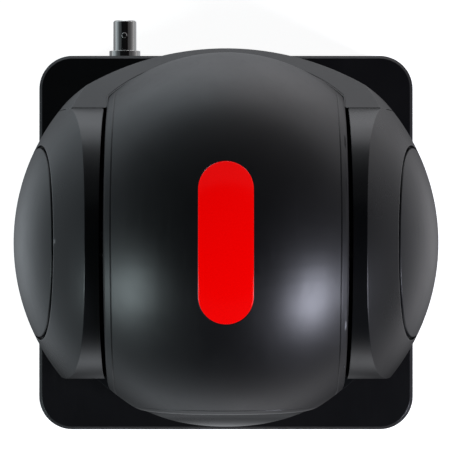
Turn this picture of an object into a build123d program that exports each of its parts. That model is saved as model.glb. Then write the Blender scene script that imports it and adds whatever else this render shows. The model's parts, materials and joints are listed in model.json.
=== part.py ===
from build123d import *
import os
from math import cos, hypot, radians, sin, sqrt, tan

# Pan tilt zoom camera, in millimetres. +Z is up and the lens looks along -Y at rest.
# The origin is the mouth of the tripod thread, in the middle of the base's underside.

# Base
base_width = 154.0
base_height = 43.0
base_corner = 13.6
base_bevel = 1.2
base_wall = 2.5
cover_thickness = 3.0
plate_thickness = 2.0
foot_radius = 8.0
foot_height = 2.5
foot_inset = 19.0
pillar_radius = 6.5
pillar_inset = 9.0
screw_radius = 1.5
screw_head_radius = 2.9
screw_length = 12.0

# Tripod socket (1/4 inch thread) and the square of bracket holes round it
thread_radius = 3.175
thread_depth = 9.0
insert_radius = 7.0
insert_flange = 10.0
insert_flange_thickness = 2.0
insert_height = 11.0
bracket_inset = 47.0
bracket_hole_radius = 1.65
bracket_boss_radius = 4.5
bracket_boss_height = 4.0

# Rear panel and what it holds
panel_inset = 10.0
panel_height = 32.0
panel_thickness = 2.0
panel_recess = 0.5
board_height = 13.0
board_thickness = 1.6
board_inset = 7.0
board_front = -18.0
standoff_radius = 3.0
standoff_inset = 6.0
port_clearance = 0.3

# Coaxial video socket
coax_pitch = 13.5
coax_height = 22.0
coax_barrel_radius = 4.85
coax_flange_radius = 6.5
coax_flange_thickness = 3.3
coax_reach = 12.8
coax_bore_radius = 3.95
coax_bore_depth = 12.0
coax_block = 14.2
coax_insulator_depth = 5.0
coax_contact_radius = 0.7
coax_contact_reach = 3.5
coax_lug_radius = 1.0
coax_lug_height = 0.9
coax_edge = 0.5

# Pan drive in the base
journal_radius = 22.0
hub_bore_radius = 14.0
running_fit = 0.05
bearing_wall = 5.0
bearing_flange = 3.0
bearing_flange_thickness = 2.0
bearing_boss_wall = 4.0
pulley_height = 7.0
pulley_rim = 0.9
pulley_lip = 2.0
pan_pulley_radius = 32.0
pan_motor_pulley_radius = 8.0
pan_motor_radius = 17.5
pan_motor_side_gap = 9.0
pan_motor_front_gap = 11.0
pan_motor_clearance = 1.7
motor_shaft_radius = 2.5
belt_thickness = 1.5
belt_gap = 0.3

# Yoke
pan_gap = 1.5
seam = 0.3
yoke_bottom_radius = 75.0
yoke_dome_drop = 19.5
yoke_side_radius = 97.0
yoke_back_radius = 99.0
yoke_back_wall = 2.3
yoke_wall = 2.2
arm_space = 4.6
trough_gap = 1.2
crown_radius = 51.6
chin_radius = 26.0
chin_rise = 5.5
arm_gap = 1.6
cowl_lap = 1.4
cowl_slope = 48.6
cap_radius = 35.7
cap_lean = 14.0
cap_seam = 1.2
cap_ledge = 2.5
hub_flange_radius = 50.0
hub_flange_thickness = 3.0
frame_thickness = 2.5
frame_width = 40.0

# Tilt drive in the right arm
shaft_radius = 6.0
bush_wall = 3.0
bush_flange = 2.0
bush_flange_thickness = 1.5
tilt_motor_drop = 45.0
tilt_pulley_radius = 24.0
tilt_motor_pulley_radius = 6.0
tilt_pulley_width = 5.0
tilt_pulley_clearance = 1.0
bracket_clearance = 1.5
bracket_thickness = 2.0
bracket_width = 40.0
bracket_height = 26.0
bracket_post_radius = 2.5
bracket_post_inset = 3.5
tilt_motor_radius = 13.0
tilt_motor_length = 12.5
tilt_motor_boss = 5.0
tilt_shaft_hole = 2.0

# Head
head_radius = 72.1
head_arc_radius = 66.5
head_half_width = 44.2
head_seam_place = 41.35
head_wall = 2.2
head_clearance = 1.5
cowl_clearance = 0.6
side_edge = 2.0
bezel_radius = 35.9
bezel_rim = 0.3

# Places that follow from the sizes
half_base = base_width / 2
inner_half = half_base - base_wall
foot_spread = base_width - 2 * foot_inset
pillar_spread = base_width - 2 * pillar_inset
bracket_spacing = base_width - 2 * bracket_inset
panel_width = base_width - 2 * panel_inset
board_width = panel_width - 2 * board_inset
pan_motor_x = inner_half - pan_motor_side_gap - pan_motor_radius
pan_motor_y = pan_motor_front_gap + pan_motor_radius - inner_half
cover_under = base_height - cover_thickness
board_top = board_height + board_thickness
panel_back = half_base - panel_recess
panel_front = panel_back - panel_thickness
yoke_bottom = base_height + pan_gap
arm_inner = head_half_width + arm_gap
frame_inner = arm_inner + yoke_wall
frame_outer = frame_inner + frame_thickness
frame_bottom = yoke_bottom + hub_flange_thickness
frame_top = frame_bottom + frame_thickness
bush_radius = shaft_radius + running_fit + bush_wall
tilt_pulley_place = frame_outer + bush_flange_thickness + tilt_pulley_clearance
bracket_place = tilt_pulley_place + tilt_pulley_width + bracket_clearance
tilt_motor_face = bracket_place + bracket_thickness
arm_depth = hypot(tilt_motor_face + tilt_motor_length, tilt_motor_radius)
yoke_dome_radius = arm_depth + arm_space + yoke_wall
tilt_height = frame_top + trough_gap + yoke_wall + head_clearance + head_radius
tilt_motor_height = tilt_height - tilt_motor_drop
yoke_dome_height = tilt_height - yoke_dome_drop
yoke_back_centre = head_radius + cowl_clearance + yoke_back_wall - yoke_back_radius
cowl_split = crown_radius - cowl_lap
face_radius = bezel_radius + bezel_rim
head_arc_shift = head_radius - head_arc_radius
head_front = head_arc_shift + sqrt(head_arc_radius**2 - face_radius**2)
tilt_axis = Axis((0, 0, tilt_height), (1, 0, 0))
lens_axis = Axis((0, 0, tilt_height), (0, 1, 0))

os.makedirs("parts", exist_ok=True)


def corners(spread):
    """The four corners of a square pattern."""
    half = spread / 2
    return [(half, half), (-half, half), (-half, -half), (half, -half)]


def rounded_square(width, corner):
    """A square of the base's own outline."""
    return RectangleRounded(width, width, corner)


# Base shell: four walls, with a pillar in each corner and openings at the front and back
window_width = 42.0
window_height = 15.0
window_middle = 22.0
window_thickness = 1.5
window_flange = 2.5
light_radius = 1.6
light_place = 30.0

with BuildPart() as base_shell:
    with BuildSketch():
        rounded_square(base_width, base_corner)
    extrude(amount=cover_under - seam)
    with BuildSketch():
        rounded_square(base_width - 2 * base_wall, base_corner - base_wall)
    extrude(amount=cover_under - seam, mode=Mode.SUBTRACT)
    with BuildSketch(Plane.XY.offset(plate_thickness)):
        rounded_square(base_width, base_corner)
        with BuildSketch(mode=Mode.PRIVATE) as pillar_spots:
            with Locations(*corners(pillar_spread)):
                Circle(pillar_radius)
        add(pillar_spots.sketch, mode=Mode.INTERSECT)
    extrude(amount=cover_under - seam - plate_thickness)
    with Locations(*corners(pillar_spread)):
        Hole(screw_radius)
    with BuildSketch(Plane.XZ.offset(-half_base)):
        with Locations((0, plate_thickness)):
            Rectangle(panel_width, panel_height, align=(Align.CENTER, Align.MIN))
    extrude(amount=base_wall, mode=Mode.SUBTRACT)
    with BuildSketch(Plane.XZ.offset(half_base - base_wall)):
        with Locations((0, window_middle)):
            Rectangle(window_width, window_height)
        with Locations((light_place, window_middle)):
            Circle(light_radius)
    extrude(amount=base_wall, mode=Mode.SUBTRACT)
base_shell.part.label = "base_shell"
export_step(base_shell.part, "parts/base_shell.step")

# Base cover: a bevelled lid with a lip inside the walls and a boss for the pan bearing
bearing_radius = journal_radius + running_fit + bearing_wall
boss_radius = bearing_radius + bearing_boss_wall
bearing_boss_depth = 6.0
boss_bottom = cover_under - bearing_boss_depth
lip_height = 3.0
lip_wall = 1.8

with BuildPart() as base_cover:
    with BuildSketch(Plane.XY.offset(cover_under)):
        rounded_square(base_width, base_corner)
    extrude(amount=cover_thickness)
    chamfer(base_cover.edges().group_by(Axis.Z)[-1], base_bevel)
    with BuildSketch(Plane.XY.offset(cover_under - lip_height)):
        rounded_square(2 * (inner_half - seam), base_corner - base_wall - seam)
        with BuildSketch(mode=Mode.PRIVATE) as lip_core:
            rounded_square(2 * (inner_half - seam - lip_wall), base_corner - base_wall - seam - lip_wall)
            with Locations(*corners(pillar_spread)):
                Circle(pillar_radius + seam)
        add(lip_core.sketch, mode=Mode.SUBTRACT)
    extrude(amount=lip_height)
    with BuildSketch(Plane.XY.offset(boss_bottom)):
        Circle(boss_radius)
    extrude(amount=cover_under - boss_bottom)
    Hole(bearing_radius)
base_cover.part.label = "base_cover"
export_step(base_cover.part, "parts/base_cover.step")

# Bottom plate: sheet steel with board standoffs, bracket bosses and holes
board_back = panel_front - port_clearance
board_middle = (board_front + board_back) / 2
board_depth = board_back - board_front
standoff_x = board_width - 2 * standoff_inset
standoff_y = board_depth - 2 * standoff_inset

with BuildPart() as bottom_plate:
    with BuildSketch():
        rounded_square(2 * (inner_half - seam), base_corner - base_wall - seam)
    extrude(amount=plate_thickness)
    with BuildSketch(Plane.XY.offset(plate_thickness)):
        with Locations(*corners(bracket_spacing)):
            Circle(bracket_boss_radius)
    extrude(amount=bracket_boss_height)
    with BuildSketch(Plane.XY.offset(plate_thickness)):
        with Locations((0, board_middle)):
            with GridLocations(standoff_x, standoff_y, 2, 2):
                Circle(standoff_radius)
    extrude(amount=board_height - plate_thickness)
    with Locations(*corners(bracket_spacing)):
        Hole(bracket_hole_radius)
    Hole(insert_radius)
    with Locations(*[Location((x, y, 0), (180, 0, 0)) for x, y in corners(pillar_spread)]):
        CounterSinkHole(screw_radius, screw_head_radius)
bottom_plate.part.label = "bottom_plate"
export_step(bottom_plate.part, "parts/bottom_plate.step")

# Base screws: countersunk, up through the plate into the pillars
with BuildPart() as base_screws:
    with Locations(*corners(pillar_spread)):
        Cylinder(screw_radius - running_fit, screw_length, align=(Align.CENTER, Align.CENTER, Align.MIN))
        Cone(
            screw_head_radius - running_fit,
            screw_radius - running_fit,
            screw_head_radius - screw_radius,
            align=(Align.CENTER, Align.CENTER, Align.MIN),
        )
base_screws.part.label = "base_screws"
export_step(base_screws.part, "parts/base_screws.step")

# Rubber feet
with BuildPart() as rubber_feet:
    with BuildSketch():
        with Locations(*corners(foot_spread)):
            Circle(foot_radius)
    extrude(amount=-foot_height)
    chamfer(rubber_feet.edges().group_by(Axis.Z)[0], base_bevel)
rubber_feet.part.label = "rubber_feet"
export_step(rubber_feet.part, "parts/rubber_feet.step")

# Tripod insert: a flanged brass bush, threaded from below
with BuildPart() as tripod_insert:
    with BuildSketch():
        Circle(insert_radius - running_fit)
    extrude(amount=insert_height)
    with BuildSketch(Plane.XY.offset(plate_thickness)):
        Circle(insert_flange)
    extrude(amount=insert_flange_thickness)
    with BuildSketch():
        Circle(thread_radius)
    extrude(amount=thread_depth, mode=Mode.SUBTRACT)
tripod_insert.part.label = "tripod_insert"
export_step(tripod_insert.part, "parts/tripod_insert.step")

# Main board, on the standoffs
with BuildPart() as main_board:
    with BuildSketch(Plane.XY.offset(board_height)):
        with Locations((0, board_middle)):
            Rectangle(board_width, board_depth)
    extrude(amount=board_thickness)
main_board.part.label = "main_board"
export_step(main_board.part, "parts/main_board.step")

# Sockets on the board's rear edge, in a row from the power socket at the panel's right end
dc_inset = 15.0
network_pitch = 16.5
video_pitch = 18.5
data_pitch = 20.0
dc_place = panel_width / 2 - dc_inset
network_place = dc_place - network_pitch
video_place = network_place - video_pitch
data_place = video_place - data_pitch
socket_wall = 0.9
video_mouth = (14.0, 4.6)
video_depth = 11.0
network_mouth = (11.9, 8.0)
network_depth = 15.0
data_mouth = (12.5, 5.1)
data_depth = 13.0
data_tongue = 1.9
mouth_depth = 9.0


def socket_middle(height):
    """Height of the middle of a socket's mouth, whose body stands on the board."""
    return board_top + socket_wall + height / 2


def panel_hole(place, mouth):
    """Draw a socket's hole in the rear panel."""
    with Locations((place, socket_middle(mouth[1]))):
        Rectangle(
            mouth[0] + 2 * (socket_wall + port_clearance),
            mouth[1] + 2 * (socket_wall + port_clearance),
        )


def make_socket(place, mouth, depth, tongue):
    """A box socket with a blind mouth, and a tongue in it where the socket has one."""
    with BuildPart() as socket:
        with BuildSketch(Plane.XZ.offset(-panel_back)):
            with Locations((place, socket_middle(mouth[1]))):
                Rectangle(mouth[0] + 2 * socket_wall, mouth[1] + 2 * socket_wall)
        extrude(amount=depth)
        with BuildSketch(Plane.XZ.offset(-panel_back)):
            with Locations((place, socket_middle(mouth[1]))):
                Rectangle(mouth[0], mouth[1])
        extrude(amount=mouth_depth, mode=Mode.SUBTRACT)
        if tongue > 0:
            with BuildSketch(Plane.XZ.offset(-panel_back)):
                with Locations((place, socket_middle(mouth[1]) + mouth[1] / 2 - tongue)):
                    Rectangle(mouth[0] - 2 * socket_wall, tongue)
            extrude(amount=mouth_depth)
    return socket


# Power socket
dc_radius = 3.2
dc_pin_radius = 1.0
dc_body = 9.0
dc_depth = 14.0
dc_height = board_top + dc_body / 2

# Power switch at the panel's left end: a snap-in frame with a rocker on a pin across it
switch_inset = 11.0
switch_place = switch_inset - panel_width / 2
coax_place = switch_place + coax_pitch
switch_width = 9.0
switch_length = 15.0
switch_clearance = 1.0
switch_height = board_top + switch_length / 2 + switch_clearance
switch_rim = 1.6
switch_lip = 0.5
switch_depth = 12.0
rocker_gap = 0.4
rocker_tilt = 7.0
rocker_pin_radius = 1.0

# Rear panel: a plate standing on the bottom plate, with a hole for each socket
with BuildPart() as rear_panel:
    with BuildSketch(Plane.XZ.offset(-panel_back)):
        with Locations((0, plate_thickness)):
            Rectangle(panel_width - 2 * seam, panel_height - seam, align=(Align.CENTER, Align.MIN))
    extrude(amount=panel_thickness)
    with BuildSketch(Plane.XZ.offset(-panel_back)):
        panel_hole(video_place, video_mouth)
        panel_hole(network_place, network_mouth)
        panel_hole(data_place, data_mouth)
        with Locations((dc_place, dc_height)):
            Circle(dc_radius + socket_wall + port_clearance)
        with Locations((coax_place, coax_height)):
            Circle(coax_barrel_radius + port_clearance)
        with Locations((switch_place, switch_height)):
            Rectangle(switch_width + 2 * running_fit, switch_length + 2 * running_fit)
    extrude(amount=panel_thickness, mode=Mode.SUBTRACT)
rear_panel.part.label = "rear_panel"
export_step(rear_panel.part, "parts/rear_panel.step")

video_port = make_socket(video_place, video_mouth, video_depth, 0)
video_port.part.label = "video_port"
export_step(video_port.part, "parts/video_port.step")

network_port = make_socket(network_place, network_mouth, network_depth, 0)
network_port.part.label = "network_port"
export_step(network_port.part, "parts/network_port.step")

data_port = make_socket(data_place, data_mouth, data_depth, data_tongue)
data_port.part.label = "data_port"
export_step(data_port.part, "parts/data_port.step")

with BuildPart() as dc_jack:
    with BuildSketch(Plane.XZ.offset(-panel_front + port_clearance)):
        with Locations((dc_place, dc_height)):
            Rectangle(dc_body, dc_body)
    extrude(amount=dc_depth)
    with BuildSketch(Plane.XZ.offset(-panel_front + port_clearance)):
        with Locations((dc_place, dc_height)):
            Circle(dc_radius + socket_wall)
    extrude(amount=-panel_thickness)
    with BuildSketch(Plane.XZ.offset(-panel_back)):
        with Locations((dc_place, dc_height)):
            Circle(dc_radius)
            Circle(dc_pin_radius, mode=Mode.SUBTRACT)
    extrude(amount=mouth_depth, mode=Mode.SUBTRACT)
dc_jack.part.label = "dc_jack"
export_step(dc_jack.part, "parts/dc_jack.step")

# Coaxial socket: block on the board, flange against the panel, barrel with two bayonet lugs
coax_start = panel_back + coax_flange_thickness + panel_recess
coax_tip = coax_start + coax_reach

with BuildPart() as coax_shell:
    with BuildSketch(Plane.XZ.offset(-panel_front)):
        with Locations((coax_place, board_top)):
            Rectangle(coax_block, coax_block, align=(Align.CENTER, Align.MIN))
    extrude(amount=coax_block)
    with BuildSketch(Plane.XZ.offset(-coax_tip)):
        with Locations((coax_place, coax_height)):
            Circle(coax_barrel_radius)
    extrude(amount=coax_tip - panel_front)
    chamfer(coax_shell.edges().group_by(Axis.Y)[-1], coax_edge)
    with BuildSketch(Plane.XZ.offset(-panel_back)):
        with Locations((coax_place, coax_height)):
            Circle(coax_flange_radius)
    extrude(amount=-(coax_flange_thickness + panel_recess))
    with BuildSketch(Plane.XY.offset(coax_height)):
        with Locations((coax_place, coax_tip - coax_reach / 2)):
            Circle(coax_lug_radius)
    extrude(amount=coax_barrel_radius + coax_lug_height, both=True)
    with BuildSketch(Plane.XZ.offset(-coax_tip)):
        with Locations((coax_place, coax_height)):
            Circle(coax_bore_radius)
    extrude(amount=coax_bore_depth, mode=Mode.SUBTRACT)
coax_shell.part.label = "coax_shell"
export_step(coax_shell.part, "parts/coax_shell.step")

coax_floor = coax_tip - coax_bore_depth

with BuildPart() as coax_insulator:
    with BuildSketch(Plane.XZ.offset(-coax_floor)):
        with Locations((coax_place, coax_height)):
            Circle(coax_bore_radius - running_fit)
            Circle(coax_contact_radius + running_fit, mode=Mode.SUBTRACT)
    extrude(amount=-coax_insulator_depth)
coax_insulator.part.label = "coax_insulator"
export_step(coax_insulator.part, "parts/coax_insulator.step")

with BuildPart() as coax_contact:
    with BuildSketch(Plane.XZ.offset(-coax_floor)):
        with Locations((coax_place, coax_height)):
            Circle(coax_contact_radius)
    extrude(amount=-(coax_insulator_depth + coax_contact_reach))
coax_contact.part.label = "coax_contact"
export_step(coax_contact.part, "parts/coax_contact.step")

# Power switch frame: a tube with a lip outside the panel
switch_wall = 1.2
switch_floor = 1.5
hinge_depth = 3.0
hinge_y = panel_back - hinge_depth

with BuildPart() as power_switch_frame:
    with BuildSketch(Plane.XZ.offset(-panel_back)):
        with Locations((switch_place, switch_height)):
            Rectangle(switch_width, switch_length)
    extrude(amount=switch_depth)
    with BuildSketch(Plane.XZ.offset(-panel_back)):
        with Locations((switch_place, switch_height)):
            Rectangle(switch_width + 2 * switch_rim, switch_length + 2 * switch_rim)
    extrude(amount=-switch_lip)
    with BuildSketch(Plane.XZ.offset(-panel_back - switch_lip)):
        with Locations((switch_place, switch_height)):
            Rectangle(switch_width - 2 * switch_wall, switch_length - 2 * switch_wall)
    extrude(amount=switch_depth - switch_floor, mode=Mode.SUBTRACT)
    with BuildSketch(Plane.YZ.offset(switch_place)):
        with Locations((hinge_y, switch_height)):
            Circle(rocker_pin_radius + running_fit)
    extrude(amount=switch_width / 2, both=True, mode=Mode.SUBTRACT)
power_switch_frame.part.label = "power_switch_frame"
export_step(power_switch_frame.part, "parts/power_switch_frame.step")

# Power rocker, modelled switched off, with its pin
rocker_half = switch_length / 2 - switch_wall - 2 * rocker_gap
rocker_dip = 0.8
rocker_inset = 0.6
rocker_front = hinge_depth + switch_lip - rocker_inset
rocker_turn = radians(rocker_tilt)
rocker_plane = Plane(
    origin=(switch_place, hinge_y, switch_height),
    x_dir=(0, cos(rocker_turn), -sin(rocker_turn)),
    z_dir=(1, 0, 0),
)

with BuildPart() as power_rocker:
    with BuildSketch(rocker_plane):
        Polygon(
            (-rocker_pin_radius - rocker_gap, rocker_half / 2),
            (-rocker_pin_radius - rocker_gap, -rocker_half / 2),
            (rocker_front - rocker_dip, -rocker_half),
            (rocker_front, -rocker_half + rocker_gap),
            (rocker_front - rocker_dip, 0),
            (rocker_front, rocker_half - rocker_gap),
            (rocker_front - rocker_dip, rocker_half),
            align=None,
        )
    extrude(amount=switch_width / 2 - switch_wall - rocker_gap, both=True)
    with BuildSketch(Plane.YZ.offset(switch_place)):
        with Locations((hinge_y, switch_height)):
            Circle(rocker_pin_radius)
    extrude(amount=switch_width / 2, both=True)
power_rocker.part.label = "power_rocker"
export_step(power_rocker.part, "parts/power_rocker.step")

# Infrared window: a plug in the front wall with a flange behind it
with BuildPart() as ir_window:
    with BuildSketch(Plane.XZ.offset(inner_half)):
        with Locations((0, window_middle)):
            Rectangle(window_width - 2 * seam, window_height - 2 * seam)
    extrude(amount=base_wall - seam)
    with BuildSketch(Plane.XZ.offset(inner_half)):
        with Locations((0, window_middle)):
            Rectangle(window_width + 2 * window_flange, window_height + 2 * window_flange)
    extrude(amount=-window_thickness)
ir_window.part.label = "ir_window"
export_step(ir_window.part, "parts/ir_window.step")

# Status light guide: a pin in the front wall with a collar behind it
with BuildPart() as status_light:
    with BuildSketch(Plane.XZ.offset(inner_half)):
        with Locations((light_place, window_middle)):
            Circle(light_radius - running_fit)
    extrude(amount=base_wall)
    with BuildSketch(Plane.XZ.offset(inner_half)):
        with Locations((light_place, window_middle)):
            Circle(light_radius + socket_wall)
    extrude(amount=-window_thickness)
status_light.part.label = "status_light"
export_step(status_light.part, "parts/status_light.step")

# Pan bearing: a flanged plain ring, pushed up into the cover's boss
bearing_bottom = boss_bottom - bearing_flange_thickness
bearing_top = yoke_bottom - seam

with BuildPart() as pan_bearing:
    with BuildSketch(Plane.XY.offset(bearing_bottom)):
        Circle(bearing_radius - running_fit)
    extrude(amount=bearing_top - bearing_bottom)
    with BuildSketch(Plane.XY.offset(bearing_bottom)):
        Circle(bearing_radius + bearing_flange)
    extrude(amount=bearing_flange_thickness)
    Hole(journal_radius + running_fit)
pan_bearing.part.label = "pan_bearing"
export_step(pan_bearing.part, "parts/pan_bearing.step")

# Pan pulleys and belt, between the bearing and the motor
pan_pulley_top = bearing_bottom - seam
pan_pulley_bottom = pan_pulley_top - pulley_height
pulley_seat = 2.0
motor_spot = (pan_motor_x, pan_motor_y)


def pulley_body(plane, spot, radius, width):
    """A belt pulley with a rim on each side, standing on a plane."""
    with BuildPart() as pulley:
        with BuildSketch(plane):
            with Locations(spot):
                Circle(radius)
        extrude(amount=width)
        with BuildSketch(plane, plane.offset(width - pulley_rim)):
            with Locations(spot):
                Circle(radius + pulley_lip)
        extrude(amount=pulley_rim)
    return pulley.part


def belt_body(plane, spots, radii, width):
    """A closed belt round two pulleys, clear of both."""
    with BuildPart() as belt:
        with BuildSketch(plane.offset(pulley_rim + belt_gap)):
            for spot, radius in zip(spots, radii):
                with Locations(spot):
                    Circle(radius + belt_gap + belt_thickness)
            make_hull()
        extrude(amount=width - 2 * (pulley_rim + belt_gap))
        with BuildSketch(plane.offset(pulley_rim + belt_gap)):
            for spot, radius in zip(spots, radii):
                with Locations(spot):
                    Circle(radius + belt_gap)
            make_hull()
        extrude(amount=width - 2 * (pulley_rim + belt_gap), mode=Mode.SUBTRACT)
    return belt.part


pan_plane = Plane.XY.offset(pan_pulley_bottom)
pan_motor_height = pan_pulley_bottom - pan_motor_clearance - plate_thickness

with BuildPart() as pan_pulley:
    add(pulley_body(pan_plane, (0, 0), pan_pulley_radius, pulley_height))
    Hole(journal_radius - pulley_seat + running_fit)
pan_pulley.part.label = "pan_pulley"
export_step(pan_pulley.part, "parts/pan_pulley.step")

motor_shaft_bottom = plate_thickness + 2 * pulley_seat

with BuildPart() as pan_motor_pulley:
    add(pulley_body(pan_plane, motor_spot, pan_motor_pulley_radius, pulley_height))
    with BuildSketch(Plane.XY.offset(motor_shaft_bottom)):
        with Locations(motor_spot):
            Circle(motor_shaft_radius)
    extrude(amount=pan_pulley_top - motor_shaft_bottom)
pan_motor_pulley.part.label = "pan_motor_pulley"
export_step(pan_motor_pulley.part, "parts/pan_motor_pulley.step")

with BuildPart() as pan_belt:
    add(
        belt_body(
            pan_plane,
            ((0, 0), motor_spot),
            (pan_pulley_radius, pan_motor_pulley_radius),
            pulley_height,
        )
    )
pan_belt.part.label = "pan_belt"
export_step(pan_belt.part, "parts/pan_belt.step")

# Pan motor: a can standing on the bottom plate, bored for its shaft
motor_chamfer = 1.0

with BuildPart() as pan_motor:
    with BuildSketch(Plane.XY.offset(plate_thickness)):
        with Locations(motor_spot):
            Circle(pan_motor_radius)
    extrude(amount=pan_motor_height)
    chamfer(pan_motor.edges(), motor_chamfer)
    with BuildSketch(Plane.XY.offset(plate_thickness + pan_motor_height)):
        with Locations(motor_spot):
            Circle(motor_shaft_radius + running_fit)
    extrude(amount=-(plate_thickness + pan_motor_height - motor_shaft_bottom), mode=Mode.SUBTRACT)
pan_motor.part.label = "pan_motor"
export_step(pan_motor.part, "parts/pan_motor.step")

# Turntable hub: a hollow journal with a flange, which the yoke stands on
with BuildPart() as turntable_hub:
    with BuildSketch(Plane.XY.offset(yoke_bottom)):
        Circle(hub_flange_radius)
    extrude(amount=hub_flange_thickness)
    with BuildSketch(Plane.XY.offset(pan_pulley_top)):
        Circle(journal_radius)
    extrude(amount=yoke_bottom - pan_pulley_top)
    with BuildSketch(Plane.XY.offset(pan_pulley_bottom)):
        Circle(journal_radius - pulley_seat)
    extrude(amount=pulley_height)
    Hole(hub_bore_radius)
turntable_hub.part.label = "turntable_hub"
export_step(turntable_hub.part, "parts/turntable_hub.step")


# Yoke outer form: a dome of revolution, cut by a side outline, by a flatter back and round the chin
reach = 3 * yoke_dome_radius
dome_offset = yoke_side_radius - yoke_dome_radius


def yoke_form(inset):
    """The yoke's outer form as one solid, moved in by inset on every side."""
    low = yoke_bottom + inset
    with BuildPart() as form:
        with BuildSketch(Plane.XZ):
            with BuildLine():
                side_radius = yoke_side_radius - inset
                dome_side = (yoke_dome_radius - inset, yoke_dome_height)
                dome_top = (0, yoke_dome_height + sqrt(side_radius**2 - dome_offset**2))
                rim = (yoke_bottom_radius - inset, low)
                RadiusArc(dome_side, dome_top, -side_radius)
                TangentArc(dome_side, rim, tangent=(0, -1))
                Polyline(rim, (0, low), dome_top)
            make_face()
        revolve(axis=Axis.Z)
        with BuildSketch(Plane.YZ):
            with BuildLine():
                chin_side = -yoke_bottom_radius - seam
                chin_centre = (chin_side + chin_radius, yoke_bottom + chin_rise)
                chin_top = chin_centre[1] + sqrt(chin_radius**2 - (chin_centre[0] + crown_radius) ** 2)
                front = (-crown_radius, tilt_height)
                split_height = tilt_height + sqrt(crown_radius**2 - cowl_split**2)
                back = yoke_dome_radius + yoke_wall
                back_height = split_height - (back - cowl_split) * tan(radians(cowl_slope))
                Polyline((chin_side, yoke_bottom), (chin_side, chin_centre[1]))
                RadiusArc((chin_side, chin_centre[1]), (-crown_radius, chin_top), chin_radius)
                Line((-crown_radius, chin_top), front)
                ThreePointArc(front, (0, tilt_height + crown_radius), (cowl_split, split_height))
                Polyline(
                    (cowl_split, split_height),
                    (back, back_height),
                    (back, yoke_bottom),
                    (chin_side, yoke_bottom),
                )
            make_face()
            if inset > 0:
                offset(amount=-inset, kind=Kind.INTERSECTION)
        extrude(amount=reach, both=True, mode=Mode.INTERSECT)
        with BuildSketch(Plane.XY.offset(low)):
            with Locations((0, yoke_back_centre)):
                Circle(yoke_back_radius - inset)
        extrude(amount=reach, mode=Mode.INTERSECT)
        with BuildSketch(Plane.XY.offset(low)):
            with Locations((0, inset - crown_radius)):
                Rectangle(2 * reach, reach, align=(Align.CENTER, Align.MAX))
            Circle(yoke_bottom_radius - inset, mode=Mode.SUBTRACT)
        extrude(amount=reach, mode=Mode.SUBTRACT)
    return form.part


def tilt_cylinder(radius, half_width):
    """A solid cylinder about the tilt axis."""
    with BuildPart() as cylinder:
        with BuildSketch(Plane.YZ):
            with Locations((0, tilt_height)):
                Circle(radius)
        extrude(amount=half_width, both=True)
    return cylinder.part


def slab(low, high):
    """A block between two corners."""
    size = [b - a for a, b in zip(low, high)]
    with BuildPart() as block:
        with Locations(low):
            Box(*size, align=(Align.MIN, Align.MIN, Align.MIN))
    return block.part


def head_turned(inset, half_width):
    """What the head sweeps as it tilts: an arc turned about the tilt axis, moved in by inset."""
    radius = head_arc_radius - inset
    centre = tilt_height + head_arc_shift
    edge = centre + sqrt(radius**2 - half_width**2)
    with BuildPart() as form:
        with BuildSketch(Plane.XZ):
            with BuildLine():
                ThreePointArc((-half_width, edge), (0, centre + radius), (half_width, edge))
                Polyline(
                    (half_width, edge),
                    (half_width, tilt_height),
                    (-half_width, tilt_height),
                    (-half_width, edge),
                )
            make_face()
        revolve(axis=tilt_axis)
    return form.part


def head_form(inset, half_width):
    """The head's outer form, cut flat in front and moved in by inset."""
    with BuildPart() as form:
        add(head_turned(inset, half_width))
        add(slab((-reach, -head_front + inset, 0), (reach, reach, reach)), mode=Mode.INTERSECT)
    return form.part


yoke_outer = yoke_form(0)
yoke_inner = yoke_form(yoke_wall)


def yoke_shell(clearance, half_width):
    """The hollow yoke before it is split, with room for the head, the hub, the frame and the shafts."""
    with BuildPart() as shell:
        add(yoke_outer)
        add(head_turned(-clearance, half_width), mode=Mode.SUBTRACT)
        with BuildPart(mode=Mode.PRIVATE) as hollow:
            add(yoke_inner)
            add(head_turned(-clearance - yoke_wall, half_width + yoke_wall), mode=Mode.SUBTRACT)
        add(hollow.part, mode=Mode.SUBTRACT)
        with BuildSketch(Plane.XY.offset(yoke_bottom)):
            Circle(hub_flange_radius + seam)
        extrude(amount=hub_flange_thickness, mode=Mode.SUBTRACT)
        add(
            slab(
                (-frame_outer - seam, -frame_width / 2 - seam, yoke_bottom),
                (frame_outer + seam, frame_width / 2 + seam, frame_top + seam),
            ),
            mode=Mode.SUBTRACT,
        )
        add(tilt_cylinder(bush_radius + seam, frame_outer), mode=Mode.SUBTRACT)
    return shell.part


open_shell = yoke_shell(head_clearance, arm_inner)

# Turntable cover: the front chin and the trough under the head
post_x = 30.0
post_y = 15.0
post_radius = 3.5

with BuildPart() as turntable_cover:
    add(open_shell)
    with BuildPart(mode=Mode.PRIVATE) as posts:
        with BuildSketch(Plane.XY.offset(frame_top)):
            with GridLocations(2 * post_x, 2 * post_y, 2, 2):
                Circle(post_radius)
        extrude(amount=tilt_height - frame_top)
        add(head_turned(-head_clearance - yoke_wall / 2, arm_inner), mode=Mode.SUBTRACT)
    add(posts.part)
    add(
        slab((-arm_inner + seam, -reach, 0), (arm_inner - seam, cowl_split, reach)),
        mode=Mode.INTERSECT,
    )
    add(slab((-reach, 0, 0), (reach, reach, frame_bottom)), mode=Mode.SUBTRACT)
turntable_cover.part.label = "turntable_cover"
export_step(turntable_cover.part, "parts/turntable_cover.step")

# Rear cowl: everything behind the split, closer to the head than the rest
with BuildPart() as rear_cowl:
    add(yoke_shell(cowl_clearance, head_half_width + cowl_clearance))
    add(slab((-reach, cowl_split + seam, 0), (reach, reach, reach)), mode=Mode.INTERSECT)
rear_cowl.part.label = "rear_cowl"
export_step(rear_cowl.part, "parts/rear_cowl.step")

# Arm covers and side caps, one of each on each side
lean = radians(cap_lean)
cap_start = (frame_outer + dome_offset + (cap_radius + cap_ledge) * sin(lean)) / cos(lean)


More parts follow.
